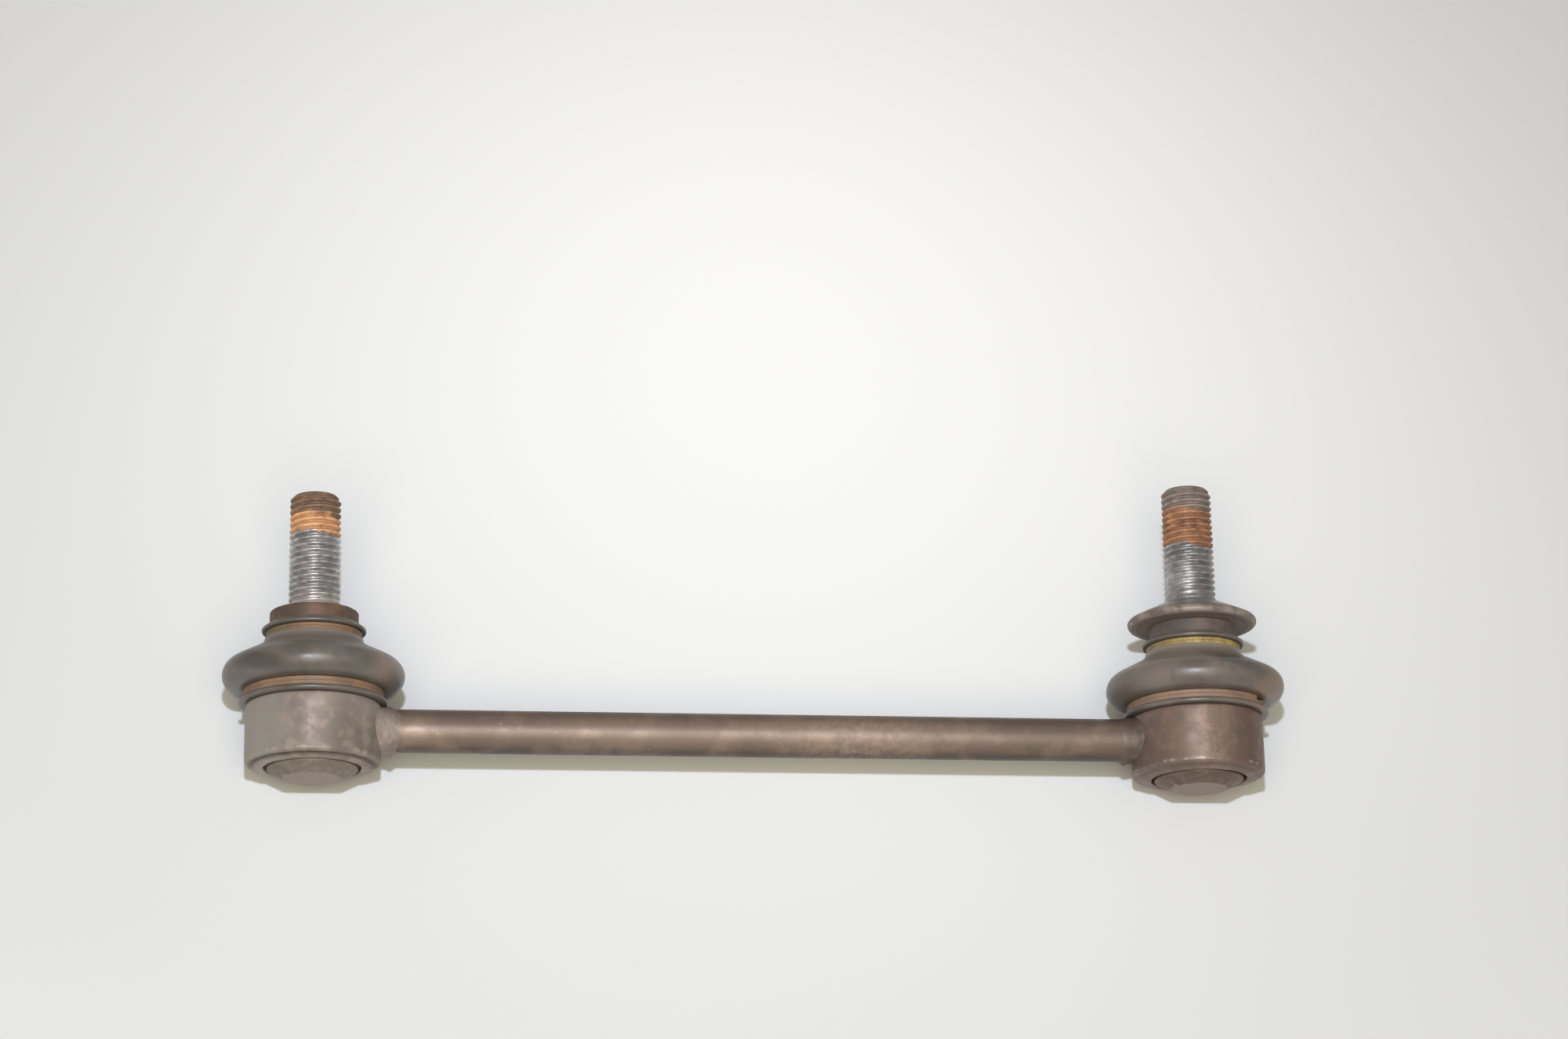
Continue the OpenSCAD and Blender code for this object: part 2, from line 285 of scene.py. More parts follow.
def bridge(bm, first, second):
    """Faces between two rings of vertices, either of which may be a single pole."""
    count = max(len(first), len(second))
    for i in range(count):
        corners = [first[i % len(first)], first[(i + 1) % len(first)]]
        corners += [second[(i + 1) % len(second)], second[i % len(second)]]
        corners = list(dict.fromkeys(corners))
        if len(corners) > 2:
            bm.faces.new(corners)


def make_piece(name, bm, side):
    """Shades a mesh drawn in a joint's frame, keeps its places and carries it to the row frame."""
    bmesh.ops.recalc_face_normals(bm, faces=bm.faces)
    for face in bm.faces:
        face.smooth = True
    for edge in bm.edges:
        edge.smooth = edge.calc_face_angle(0) < SHARP_EDGE
    mesh = bpy.data.meshes.new(name)
    bm.to_mesh(mesh)
    bm.free()
    places = mesh.attributes.new(PLACE, "FLOAT_VECTOR", "POINT")
    places.data.foreach_set("vector", [value for vertex in mesh.vertices for value in vertex.co])
    mesh.transform(joint_frame(side))
    piece = bpy.data.objects.new(name, mesh)
    bpy.context.scene.collection.objects.link(piece)
    return piece


def turned(outline, segments, shape=None):
    """Closed mesh turned from an outline. shape(angle, r, z) may move each point in radius and height."""
    bm = bmesh.new()
    rings = []
    for r, z in outline:
        if r < POLE:
            rings.append([bm.verts.new((0, 0, z))])
            continue
        ring = []
        for i in range(segments):
            angle = 2 * math.pi * i / segments
            radius, height = shape(angle, r, z) if shape else (r, z)
            ring.append(bm.verts.new((radius * math.cos(angle), radius * math.sin(angle), height)))
        rings.append(ring)
    for first, second in zip(rings, rings[1:] + rings[:1]):
        bridge(bm, first, second)
    return bm


def housing(side):
    """Turned cup with a sloping rolled rim, slightly dented, and a spigot that the boot grips."""
    slope = math.atan2(RIM_RISE, HOUSING_R - RIM_OPENING_R)
    quarter = math.pi / 4
    rim_centre = (RIM_OPENING_R + RIM_ROUND, RIM_Z + RIM_ROUND * math.tan(quarter + slope / 2))
    edge_centre = (
        HOUSING_R - HOUSING_EDGE_R,
        RIM_Z + RIM_RISE + HOUSING_EDGE_R * math.tan(quarter - slope / 2),
    )
    opening = arc(rim_centre, RIM_ROUND, 180, 270 + math.degrees(slope), 5)
    edge = arc(edge_centre, HOUSING_EDGE_R, math.degrees(slope) - 90, 0, 8)
    crease = []
    for aside in (-1, 1):
        r = CREASE_R + CREASE_W * aside
        crease.append((r, RIM_Z + (r - RIM_OPENING_R) * math.tan(slope)))
    wall_head = (HOUSING_R, SHOULDER_Z - SHOULDER_ROUND)
    outline = (
        opening
        + line(opening[-1], crease[0], 4)
        + [crease[0]]
        + line(crease[0], crease[1], 10)
        + [crease[1]]
        + edge
        + line(edge[-1], wall_head, 14)
        + arc((HOUSING_R - SHOULDER_ROUND, SHOULDER_Z - SHOULDER_ROUND), SHOULDER_ROUND, 0, 90, 5)
        + [
            (SPIGOT_R, SHOULDER_Z),
            (SPIGOT_R, SPIGOT_TOP_Z - SPIGOT_CHAMFER),
            (SPIGOT_R - SPIGOT_CHAMFER, SPIGOT_TOP_Z),
            (MOUTH_R, SPIGOT_TOP_Z),
            (THROAT_R, THROAT_Z),
            (THROAT_R, SEAT_TOP_Z),
            (SEAT_BORE_R, SEAT_TOP_Z),
            (SEAT_BORE_R, CAP_LEDGE_Z),
            (CAP_RECESS_R, CAP_LEDGE_Z),
            (CAP_RECESS_R, CAP_RECESS_Z),
            (RIM_OPENING_R, CAP_RECESS_Z),
        ]
    )
    seed = SEEDS["housing"][side]

    def worn(angle, r, z):
        x, y = r * math.cos(angle), r * math.sin(angle)
        if r > HOUSING_R - HOUSING_EDGE_R and z < SHOULDER_Z - SHOULDER_ROUND:
            dent = abs(unevenness(x, y, z, DENT_GRAIN, seed))
            return r - DENT_DEPTH * dent, z
        if z < CAP_RECESS_Z:
            ragged = unevenness(x, y, 0, RAGGED_GRAIN, seed)
            inner = 1 - ease(RIM_OPENING_R, CREASE_R, r)
            upper = 0.2 + 0.8 * ease(-0.4, 0.6, -math.sin(angle))
            fold = CREASE_DEPTH[side] * upper * (1 - ease(0.1, 1, abs(r - CREASE_R) / CREASE_W))
            return r + RAGGED_OPENING * inner * ragged, z + RAGGED_RIM * abs(ragged) + fold
        return r, z

    piece = make_piece(f"{side}_housing_cup", turned(outline, 144, worn), side)
    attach(piece, "link")
    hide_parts(f"{side}_housing")
    return piece


def end_cap(side):
    """Pressed cap with a domed, flat centre, held under the rolled rim."""
    slope = math.atan2(RIM_Z - DOME_Z, DOME_SIDE_R - DOME_FLAT_R)
    corner = (DOME_FLAT_R - DOME_CORNER_R * math.tan(slope / 2), DOME_Z + DOME_CORNER_R)
    flange_r = CAP_RECESS_R - CAP_FIT
    flange_z = CAP_RECESS_Z + CAP_FIT
    inner_r = DOME_SIDE_R - CAP_T
    head = CAP_SIDE_ROUND * math.tan(math.pi / 4 - slope / 2)
    foot = arc(corner, DOME_CORNER_R, 270, 270 + math.degrees(slope), 8)
    outline = (
        [(0, DOME_Z)]
        + line((0, DOME_Z), foot[0], 7)
        + foot
        + line(foot[-1], (DOME_SIDE_R, RIM_Z), 5)[:-1]
        + arc((DOME_SIDE_R - CAP_SIDE_ROUND, RIM_Z + head), CAP_SIDE_ROUND, math.degrees(slope) - 90, 0, 4)
        + [
            (DOME_SIDE_R, flange_z),
            (flange_r, flange_z),
            (flange_r, flange_z + CAP_T),
            (inner_r, flange_z + CAP_T),
            (inner_r, RIM_Z + CAP_T * math.tan(math.pi / 4 - slope / 2)),
            (DOME_FLAT_R - CAP_T * math.tan(slope / 2), DOME_Z + CAP_T),
            (0, DOME_Z + CAP_T),
        ]
    )
    seed = SEEDS["cap"][side]

    def pressed(angle, r, z):
        if z > DOME_Z + CAP_T - CAP_FIT:
            return r, z
        lump = unevenness(r * math.cos(angle), r * math.sin(angle), 0, CAP_LUMP_GRAIN, seed)
        return r, z + CAP_LUMP_H * abs(lump)

    piece = make_piece(f"{side}_domed_cap", turned(outline, 112, pressed), side)
    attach(piece, "link")
    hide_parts(f"{side}_end_cap")
    return piece


def cone_washer():
    """Conical washer on the right stud, with a worn, rounded rim."""
    rim_r = CONE_RIM_T / 2
    rim = arc((CONE_R - rim_r, SEAT_FACE_Z + rim_r), rim_r, -90, 60, 10)
    top = (CONE_BORE_R + CONE_EDGE_T, CONE_TOP_Z)
    outline = (
        [(CONE_BORE_R, SEAT_FACE_Z)]
        + line((CONE_BORE_R, SEAT_FACE_Z), rim[0], 6)
        + rim
        + line(rim[-1], top, 12)
        + [top, (CONE_BORE_R, CONE_TOP_Z)]
    )

    def worn(angle, r, z):
        x, y = r * math.cos(angle), r * math.sin(angle)
        nick = max(0, unevenness(x, y, z, NICK_GRAIN, SEEDS["washer"]["right"]))
        edge = ease(CONE_R - NICK_REACH, CONE_R, r)
        return r - NICK_DEPTH * edge * nick, z

    piece = make_piece("right_cone_seat", turned(outline, 144, worn), "right")
    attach(piece, "right_stud_body")
    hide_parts("right_cone_washer")
    return piece


def thread_ridge(turn):
    """Height of the thread's flank, from 0 in the root to 1 on the crest, at a share of a turn."""
    from_crest = abs(turn - math.floor(turn) - 0.5)
    return 1 - ease(0.04, 0.4, from_crest)


def ball_stud(side):
    """Forged stud: ball, neck, sealing land, collar and rolled M12 thread, with a key socket in its end."""
    segments = 96
    start_z = THREAD_START_Z[side]
    tip_z = TIP_Z[side]
    chamfer_z = tip_z - TIP_CHAMFER
    steps = round((tip_z - start_z) / THREAD_PITCH * STEPS_PER_TURN)
    shank = [(THREAD_R, start_z + (tip_z - start_z) * i / steps) for i in range(1, steps + 1)]
    socket_r = SOCKET_FLATS / 2
    neck_z = math.sqrt(BALL_R ** 2 - NECK_R ** 2)
    washer_seat = [(WASHER_SEAT_R, SEAT_FACE_Z), (WASHER_SEAT_R, start_z)] if side == "right" else []
    fillet_centre = (THREAD_R + SHANK_FILLET, SEAT_FACE_Z + SHANK_FILLET)
    fillet = arc(fillet_centre, SHANK_FILLET, 270, 180, 4) if side == "left" else []
    outline = (
        [(0, -BALL_R)]
        + arc((0, 0), BALL_R, -85, math.degrees(math.atan2(neck_z, NECK_R)), 24)
        + [(NECK_R, LAND_Z - FLARE_H), (LAND_R, LAND_Z), (LAND_R, COLLAR_Z)]
        + arc((COLLAR_R - COLLAR_ROUND, COLLAR_Z + COLLAR_ROUND), COLLAR_ROUND, -90, 0, 4)
        + line((COLLAR_R, COLLAR_Z + COLLAR_ROUND), (COLLAR_R, SEAT_FACE_Z - COLLAR_ROUND), 6)
        + arc((COLLAR_R - COLLAR_ROUND, SEAT_FACE_Z - COLLAR_ROUND), COLLAR_ROUND, 0, 90, 5)
        + fillet
        + washer_seat
        + shank
        + [(socket_r + SOCKET_BEVEL, tip_z), (socket_r, tip_z - SOCKET_BEVEL)]
        + [(socket_r, tip_z - SOCKET_DEPTH), (0, tip_z - SOCKET_DEPTH - 1)]
    )
    seed = SEEDS["stud"][side]

    def hexagon(angle, r):
        to_flat = (angle + math.pi / 6) % (math.pi / 3) - math.pi / 6
        return r / math.cos(to_flat)

    def shaped(angle, r, z):
        x, y = THREAD_R * math.cos(angle), THREAD_R * math.sin(angle)
        if r < socket_r + SOCKET_BEVEL + POLE and z > start_z:
            return hexagon(angle, r), z
        if r != THREAD_R or z <= start_z:
            dent = unevenness(x, y, z, COLLAR_GRAIN, seed) if COLLAR_Z < z < SEAT_FACE_Z else 0
            return r - COLLAR_DENT * abs(dent), z
        smear = 0
        if side == "right":
            low = 1 - ease(start_z + 4, start_z + 12, z)
            smear = FLAT_SHARE * low * ease(0.1, 0.9, math.cos(angle - FLAT_SIDE))
        scuff = max(0, unevenness(x, y, z, SCUFF_GRAIN, seed))
        rust = ease(tip_z - 13, tip_z - 8, z)
        depth = THREAD_DEPTH * ease(start_z, start_z + THREAD_RUN_OUT[side], z) * (1 - smear)
        ridge = thread_ridge((z - start_z) / THREAD_PITCH - angle / (2 * math.pi))
        lump = unevenness(x, y, z, RUST_GRAIN, seed)
        worn_off = SCUFF_DEPTH * scuff * ridge
        radius = THREAD_R - depth * (1 - ridge) - worn_off - rust * RUST_DEPTH * (1 + lump)
        return min(radius, THREAD_R - max(0, z - chamfer_z)), z

    piece = make_piece(f"{side}_threaded_stud", turned(outline, segments, shaped), side)
    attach(piece, f"{side}_stud_body")
    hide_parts(f"{side}_ball_stud")
    return piece


def boot_wall_line(inset):
    """The boot's side from its widest line up to its neck, moved inwards by inset."""
    top_angle = 90 - BOOT_SLOPE
    roll = arc(ROLL_CENTRE, ROLL_R - inset, 0, top_angle, 20)
    neck = (BOOT_NECK_R - inset, UPPER_GROOVE_Z - inset / 2)
    reach = (roll[-1][0] - neck[0]) / 2
    slope = math.radians(BOOT_SLOPE)
    first = (roll[-1][0] - reach * math.cos(slope), roll[-1][1] + reach * math.sin(slope))
    return roll + curve(roll[-1], first, (neck[0], neck[1] - reach / 2), neck)[1:]


def boot(side):
    """Rubber boot in two halves that meet at its widest line."""
    lip_r = LIP_T / 2
    roll_bottom = ROLL_CENTRE[1] - ROLL_R
    lower = (
        [(GRIP_R, LOWER_LIP_Z)]
        + arc((LOWER_LIP_R - lip_r, LOWER_LIP_Z + lip_r), lip_r, -90, 90, 10)
        + [(LOWER_GROOVE_R, LOWER_GROOVE_Z), (LOWER_GROOVE_R, roll_bottom)]
        + arc(ROLL_CENTRE, ROLL_R, -90, 0, 30)
        + arc(ROLL_CENTRE, ROLL_R - BOOT_WALL, 0, -90, 20)
        + [(GRIP_R, roll_bottom + BOOT_WALL)]
    )
    lip_edge = (UPPER_LIP_R - UPPER_LIP_EDGE_R, UPPER_LIP_Z + 0.55)
    bead = (COLLAR_R + 0.06 + BEAD_R, COLLAR_Z + 0.1)
    upper = (
        boot_wall_line(0)
        + [(UPPER_GROOVE_R, UPPER_GROOVE_Z), (UPPER_GROOVE_R, UPPER_LIP_Z)]
        + arc(lip_edge, UPPER_LIP_EDGE_R, -90, 100, 10)
        + arc(bead, BEAD_R, 0, 180, 8)
        + [(bead[0] - BEAD_R, COLLAR_Z - CAP_FIT), (SEAL_R, COLLAR_Z - CAP_FIT), (SEAL_R, UPPER_GROOVE_Z)]
        + boot_wall_line(BOOT_WALL)[::-1]
    )
    seed = SEEDS["boot"][side]

    def slack(angle, r, z):
        x, y = r * math.cos(angle), r * math.sin(angle)
        soft = abs(unevenness(x, y, z, SLACK_GRAIN, seed))
        roll = ease(LOWER_GROOVE_R + 0.5, ROLL_CENTRE[0] + 1, r) * ease(roll_bottom, roll_bottom + 2, z)
        lip = ease(LOWER_LIP_R - 2, LOWER_LIP_R, r) if z < LOWER_GROOVE_Z + POLE else 0
        wave = LIP_WAVE_H * lip * unevenness(x, y, 0, LIP_WAVE_GRAIN, seed)
        return r - SLACK_DEPTH * soft * max(roll, lip), z + wave

    lower_piece = make_piece(f"{side}_boot_lower_half", turned(lower, 160, slack), side)
    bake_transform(lower_piece)
    upper_piece = make_piece(f"{side}_boot_upper_half", turned(upper, 160, slack), side)
    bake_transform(upper_piece)
    for piece in (lower_piece, upper_piece):
        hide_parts(f"{side}_boot")
    return lower_piece, upper_piece


def spring_ring(side, level):
    """Two turns of flat wire, with a step from the first to the second and both ends beside it."""
    inner_r, bottom_z, wire_w, wire_h = RING_WIRE[level]
    c = WIRE_CHAMFER
    section = [(0, c), (c, 0), (wire_w - c, 0), (wire_w, c), (wire_w, wire_h - c), (wire_w - c, wire_h)]
    section += [(c, wire_h), (0, wire_h - c)]
    first_angle, step_angle = RING_ENDS[side, level]
    wound = 720 - step_angle - WIRE_END_GAP
    seed = SEEDS["ring"][side]
    bm = bmesh.new()
    rings = []
    for i in range(WIRE_STATIONS + 1):
        along = wound * i / WIRE_STATIONS
        angle = math.radians(first_angle + along)
        rise = wire_h * ease(360 - step_angle, 360, along)
        sway = WIRE_SWAY * unevenness(math.cos(angle), math.sin(angle), along / 90, 0.6, seed)
        ring = []
        for out, up in section:
            radius = inner_r + out + sway - WIRE_SWAY
            corner = (radius * math.cos(angle), radius * math.sin(angle), bottom_z + rise + up)
            ring.append(bm.verts.new(corner))
        rings.append(ring)
    for first, second in zip(rings, rings[1:]):
        bridge(bm, first, second)
    bm.faces.new(rings[0])
    bm.faces.new(rings[-1])
    piece = make_piece(f"{side}_{level}_spring_ring", bm, side)
    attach(piece, "link" if level == "lower" else f"{side}_ring_body")
    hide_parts(f"{side}_boot_{level}_ring")
    return piece


def weld(side):
    """Lumpy ring of weld between the rod and the housing's wall, with a few burrs of flash."""
    around = 96
    along = 10
    way = ROD_WAY[side]
    seed = SEEDS["weld"][side]
    bm = bmesh.new()
    rings = []
    for i in range(around):
        turn = math.radians(360 * i / around)
        y_way, z_way = math.cos(turn), math.sin(turn)
        sideways = y_way ** 2
        wander = WELD_RUN_WANDER * unevenness(3 * y_way, 3 * z_way, 0, 1.6, seed)
        run = WELD_RUN + WELD_SIDE_RUN * sideways + wander
        ring = []
        for k in range(along + 1):
            share = k / along
            out = run * (1 - share)
            bulge = WELD_H * ease(0, 0.6, share) + WELD_SIDE_H * sideways * share ** 3
            lump = WELD_LUMP_H * unevenness(out, 5 * y_way, 5 * z_way, 1.4, seed) * math.sin(math.pi * share)
            for burr_angle, burr_h in BURRS[side]:
                apart = (math.degrees(turn) - burr_angle + 180) % 360 - 180
                ragged = 1 + 0.6 * unevenness(out, 5 * y_way, 5 * z_way, 0.7, seed)
                across = math.exp(-((apart / BURR_WIDTH) ** 2))
                lengthwise = math.exp(-(((share - BURR_MIDDLE) / BURR_REACH) ** 2))
                bulge += burr_h * ragged * across * lengthwise
            r = ROD_R + max(0.02, bulge + lump)
            wall = math.sqrt(HOUSING_R ** 2 - (r * y_way) ** 2)
            x = wall + out - WELD_SINK * (k == along)
            ring.append(bm.verts.new((way * x, r * y_way, r * z_way)))
        inner_r = ROD_R - WELD_OVERLAP
        inner_wall = math.sqrt(HOUSING_R ** 2 - (inner_r * y_way) ** 2)
        for x in (inner_wall - WELD_SINK, inner_wall + run):
            ring.append(bm.verts.new((way * x, inner_r * y_way, inner_r * z_way)))
        rings.append(ring)
    for first, second in zip(rings, rings[1:] + rings[:1]):
        bridge(bm, first, second)
    piece = make_piece(f"{side}_weld_bead", bm, side)
    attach(piece, "link")
    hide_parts(f"{side}_weld")
    return piece


# Node helpers

MIX_FACTOR = 0
MIX_FIRST = 6
MIX_SECOND = 7
MIX_RESULT = 2


def rgb(code):
    """Linear colour from a six digit code as painters write it."""
    shares = [int(code[i:i + 2], 16) / 255 for i in (1, 3, 5)]
    return tuple(s / 12.92 if s < 0.04045 else ((s + 0.055) / 1.055) ** 2.4 for s in shares) + (1,)


def shades(*codes):
    """Several linear colours from their codes."""
    return tuple(rgb(code) for code in codes)


def feed(tree, socket, value):
    """Links a socket to another one, or sets its value."""
    if isinstance(value, bpy.types.NodeSocket):
        tree.links.new(value, socket)
    else:
        socket.default_value = value


def add(tree, kind, inputs=None, **settings):
    """Adds a node with its settings and feeds its inputs."""
    made = tree.nodes.new(f"ShaderNode{kind}")
    for name, value in settings.items():
        setattr(made, name, value)
    for name, value in (inputs or {}).items():
        feed(tree, made.inputs[name], value)
    return made


def mixed(tree, factor, first, second):
    """Colour between two colours."""
    made = tree.nodes.new("ShaderNodeMix")
    made.data_type = "RGBA"
    feed(tree, made.inputs[MIX_FACTOR], factor)
    feed(tree, made.inputs[MIX_FIRST], first)
    feed(tree, made.inputs[MIX_SECOND], second)
    return made.outputs[MIX_RESULT]


def maths(tree, operation, first, second=0.0, clamp=False):
    """Result of one sum on numbers."""
    return add(tree, "Math", {0: first, 1: second}, operation=operation, use_clamp=clamp).outputs[0]


def times(tree, first, second, clamp=False):
    """Product of two numbers."""
    return maths(tree, "MULTIPLY", first, second, clamp)


def plus(tree, first, second):
    """Sum of two numbers."""
    return maths(tree, "ADD", first, second)


def minus(tree, first, second):
    """First number less the second."""
    return maths(tree, "SUBTRACT", first, second)


def larger(tree, first, second):
    """The larger of two numbers."""
    return maths(tree, "MAXIMUM", first, second)


def ramp(tree, value, low, high, to_low=0.0, to_high=1.0):
    """Value taken smoothly from one span to another."""
    spans = {"Value": value, "From Min": low, "From Max": high, "To Min": to_low, "To Max": to_high}
    return add(tree, "MapRange", spans, interpolation_type="SMOOTHSTEP").outputs["Result"]


def lumps(tree, vector, scale, detail=4.0, roughness=0.55):
    """Noise about 0.5."""
    settings = {"Vector": vector, "Scale": scale, "Detail": detail, "Roughness": roughness}
    return add(tree, "TexNoise", settings).outputs["Fac"]


def new_group(name, numbers, others=(), outputs=(("Mask", "Float"),)):
    """Empty shader group with a place and other sockets. Returns the tree, its inputs and its outputs."""
    tree = bpy.data.node_groups.new(name, "ShaderNodeTree")
    inputs = [("Place", "Vector"), *others, *((number, "Float") for number in numbers)]
    for way, sockets in (("INPUT", inputs), ("OUTPUT", outputs)):
        for socket, kind in sockets:
            tree.interface.new_socket(name=socket, in_out=way, socket_type=f"NodeSocket{kind}")
    return tree, tree.nodes.new("NodeGroupInput").outputs, tree.nodes.new("NodeGroupOutput").inputs


def use(tree, group, inputs):
    """Places a shader group in a material and feeds its inputs."""
    made = tree.nodes.new("ShaderNodeGroup")
    made.node_tree = group
    for name, value in inputs.items():
        feed(tree, made.inputs[name], value)
    return made.outputs


# Shared effects


def blotches_group():
    """Cloudy patches with soft edges."""
    tree, given, out = new_group("Blotches", ("Scale", "Low", "High"))
    cloud = lumps(tree, given["Place"], given["Scale"], 3.5, 0.5)
    feed(tree, out["Mask"], ramp(tree, cloud, given["Low"], given["High"]))
    return tree


def flecks_group():
    """Small scattered spots, such as pits, dust grains and bare specks."""
    tree, given, out = new_group("Flecks", ("Scale", "Share", "Size"))
    warp = add(tree, "TexNoise", {"Vector": given["Place"], "Scale": 1.3}).outputs["Color"]
    bent = add(tree, "VectorMath", {0: given["Place"], 1: warp}, operation="ADD").outputs[0]
    cells = add(tree, "TexVoronoi", {"Vector": bent, "Scale": given["Scale"]})
    chance = add(tree, "SeparateColor", {"Color": cells.outputs["Color"]}).outputs["Red"]
    chosen = maths(tree, "LESS_THAN", chance, given["Share"])
    inside = ramp(tree, cells.outputs["Distance"], given["Size"], 0.0)
    feed(tree, out["Mask"], times(tree, chosen, inside))
    return tree


def scratches_group():
    """Fine broken lines that run along one way of the place."""
    tree, given, out = new_group("Scratches", ("Share",), [("Stretch", "Vector")])
    drawn = add(tree, "VectorMath", {0: given["Place"], 1: given["Stretch"]}, operation="MULTIPLY").outputs[0]
    cells = add(tree, "TexVoronoi", {"Vector": drawn, "Scale": 1.0}, feature="DISTANCE_TO_EDGE")
    fine = ramp(tree, cells.outputs["Distance"], 0.035, 0.0)
    broken = ramp(tree, lumps(tree, given["Place"], 0.35), minus(tree, 1.0, given["Share"]), 0.75)
    feed(tree, out["Mask"], times(tree, fine, broken))
    return tree


def rust_group():
    """Rust in three tones, with a crusty height."""
    tones = [(tone, "Color") for tone in ("Deep", "Middle", "Bright")]
    tree, given, out = new_group("Rust", ("Scale",), tones, [("Color", "Color"), ("Height", "Float")])
    cloud = lumps(tree, given["Place"], given["Scale"], 6.0, 0.65)
    crust = lumps(tree, given["Place"], times(tree, given["Scale"], 5.0), 4.0, 0.7)
    tone = plus(tree, times(tree, cloud, 0.75), times(tree, crust, 0.25))
    lower = mixed(tree, ramp(tree, tone, 0.36, 0.5), given["Deep"], given["Middle"])
    feed(tree, out["Color"], mixed(tree, ramp(tree, tone, 0.5, 0.66), lower, given["Bright"]))
    feed(tree, out["Height"], crust)
    return tree


def edge_wear_group():
    """Where raised edges are rubbed bare."""
    tree, given, out = new_group("Edge wear", ("Start", "Full"))
    raised = ramp(tree, add(tree, "NewGeometry").outputs["Pointiness"], given["Start"], given["Full"])
    broken = ramp(tree, lumps(tree, given["Place"], 0.9, 5.0), 0.35, 0.6)
    feed(tree, out["Mask"], times(tree, raised, broken))
    return tree


def settled_dust_group():
    """Dust that lies in patches, thicker on what faces up."""
    tree, given, out = new_group("Settled dust", ("Scale", "Amount"))
    normal = add(tree, "NewGeometry").outputs["Normal"]
    facing = add(tree, "SeparateXYZ", {0: normal}).outputs["Z"]
    upper = ramp(tree, facing, -0.4, 0.9, 0.35, 1.0)
    patches = ramp(tree, lumps(tree, given["Place"], given["Scale"], 6.0, 0.62), 0.32, 0.66, 0.25, 1.0)
    both = times(tree, upper, patches)
    feed(tree, out["Mask"], times(tree, both, given["Amount"], clamp=True))
    return tree


def grain_group():
    """Fine unevenness of a worn or cast surface."""
    tree, given, out = new_group("Fine grain", ("Scale", "Coarse"), outputs=[("Height", "Float")])
    fine = lumps(tree, given["Place"], given["Scale"], 3.0)
    coarse = lumps(tree, given["Place"], times(tree, given["Scale"], 0.22), 4.0)
    weighed = times(tree, coarse, given["Coarse"])
    feed(tree, out["Height"], plus(tree, fine, weighed))
    return tree


BLOTCHES = blotches_group()
FLECKS = flecks_group()
SCRATCHES = scratches_group()
RUST = rust_group()
EDGE_WEAR = edge_wear_group()
SETTLED_DUST = settled_dust_group()
FINE_GRAIN = grain_group()


def blotches(tree, place, scale, low, high):
    """Mask of cloudy patches."""
    return use(tree, BLOTCHES, {"Place": place, "Scale": scale, "Low": low, "High": high})["Mask"]


def flecks(tree, place, scale, share, size):
    """Mask of scattered spots."""
    return use(tree, FLECKS, {"Place": place, "Scale": scale, "Share": share, "Size": size})["Mask"]


def scratches(tree, place, stretch):
    """Mask of fine broken lines."""
    return use(tree, SCRATCHES, {"Place": place, "Stretch": stretch, "Share": 0.34})["Mask"]


def edge_wear(tree, place, start, full):
    """Mask of rubbed edges."""
    return use(tree, EDGE_WEAR, {"Place": place, "Start": start, "Full": full})["Mask"]


def settled_dust(tree, place, scale, amount):
    """Mask of dust."""
    return use(tree, SETTLED_DUST, {"Place": place, "Scale": scale, "Amount": amount})["Mask"]


def fine_grain(tree, place, scale, coarse):
    """Height of a fine grain."""
    return use(tree, FINE_GRAIN, {"Place": place, "Scale": scale, "Coarse": coarse})["Height"]


def rusted(tree, place, scale, tones):
    """Colour and height of rust, from its deep, middle and bright tones."""
    deep, middle, bright = tones
    colors = {"Deep": deep, "Middle": middle, "Bright": bright}
    return use(tree, RUST, {"Place": place, "Scale": scale, **colors})


# Finishes


def new_finish(name):
    """Material with a Principled shader. Returns the material, its tree and the shader."""
    material = bpy.data.materials.new(name)
    material.use_nodes = True
    tree = material.node_tree
    shader = next(node for node in tree.nodes if node.type == "BSDF_PRINCIPLED")
    return material, tree, shader


def place_of(tree):
    """Places in millimetres that a drawn piece keeps."""
    return add(tree, "Attribute", attribute_name=PLACE).outputs["Vector"]


def place_in_row(tree):
    """Places in millimetres in the row frame, for solids that are shown as they are."""
    place = add(tree, "TexCoord").outputs["Object"]
    return add(tree, "VectorMath", {0: place, "Scale": 1 / MM}, operation="SCALE").outputs[0]


def from_axis(tree, place):
    """Distance in millimetres from the joint's axis."""
    flat = add(tree, "VectorMath", {0: place, 1: (1, 1, 0)}, operation="MULTIPLY").outputs[0]
    return add(tree, "VectorMath", {0: flat}, operation="LENGTH").outputs["Value"]


def band(tree, value, middle, half_width):
    """1 at the middle of a span of values, falling to 0 at both its ends."""
    rising = ramp(tree, value, middle - half_width, middle)
    falling = ramp(tree, value, middle + half_width, middle)
    return times(tree, rising, falling)


def set_surface(tree, shader, color, roughness, metallic, height, bump_mm):
    """Feeds the shader, with a bump whose height is in millimetres."""
    feed(tree, shader.inputs["Base Color"], color)
    feed(tree, shader.inputs["Roughness"], roughness)
    feed(tree, shader.inputs["Metallic"], metallic)
    bump = add(tree, "Bump", {"Height": height, "Distance": bump_mm * MM})
    feed(tree, shader.inputs["Normal"], bump.outputs["Normal"])


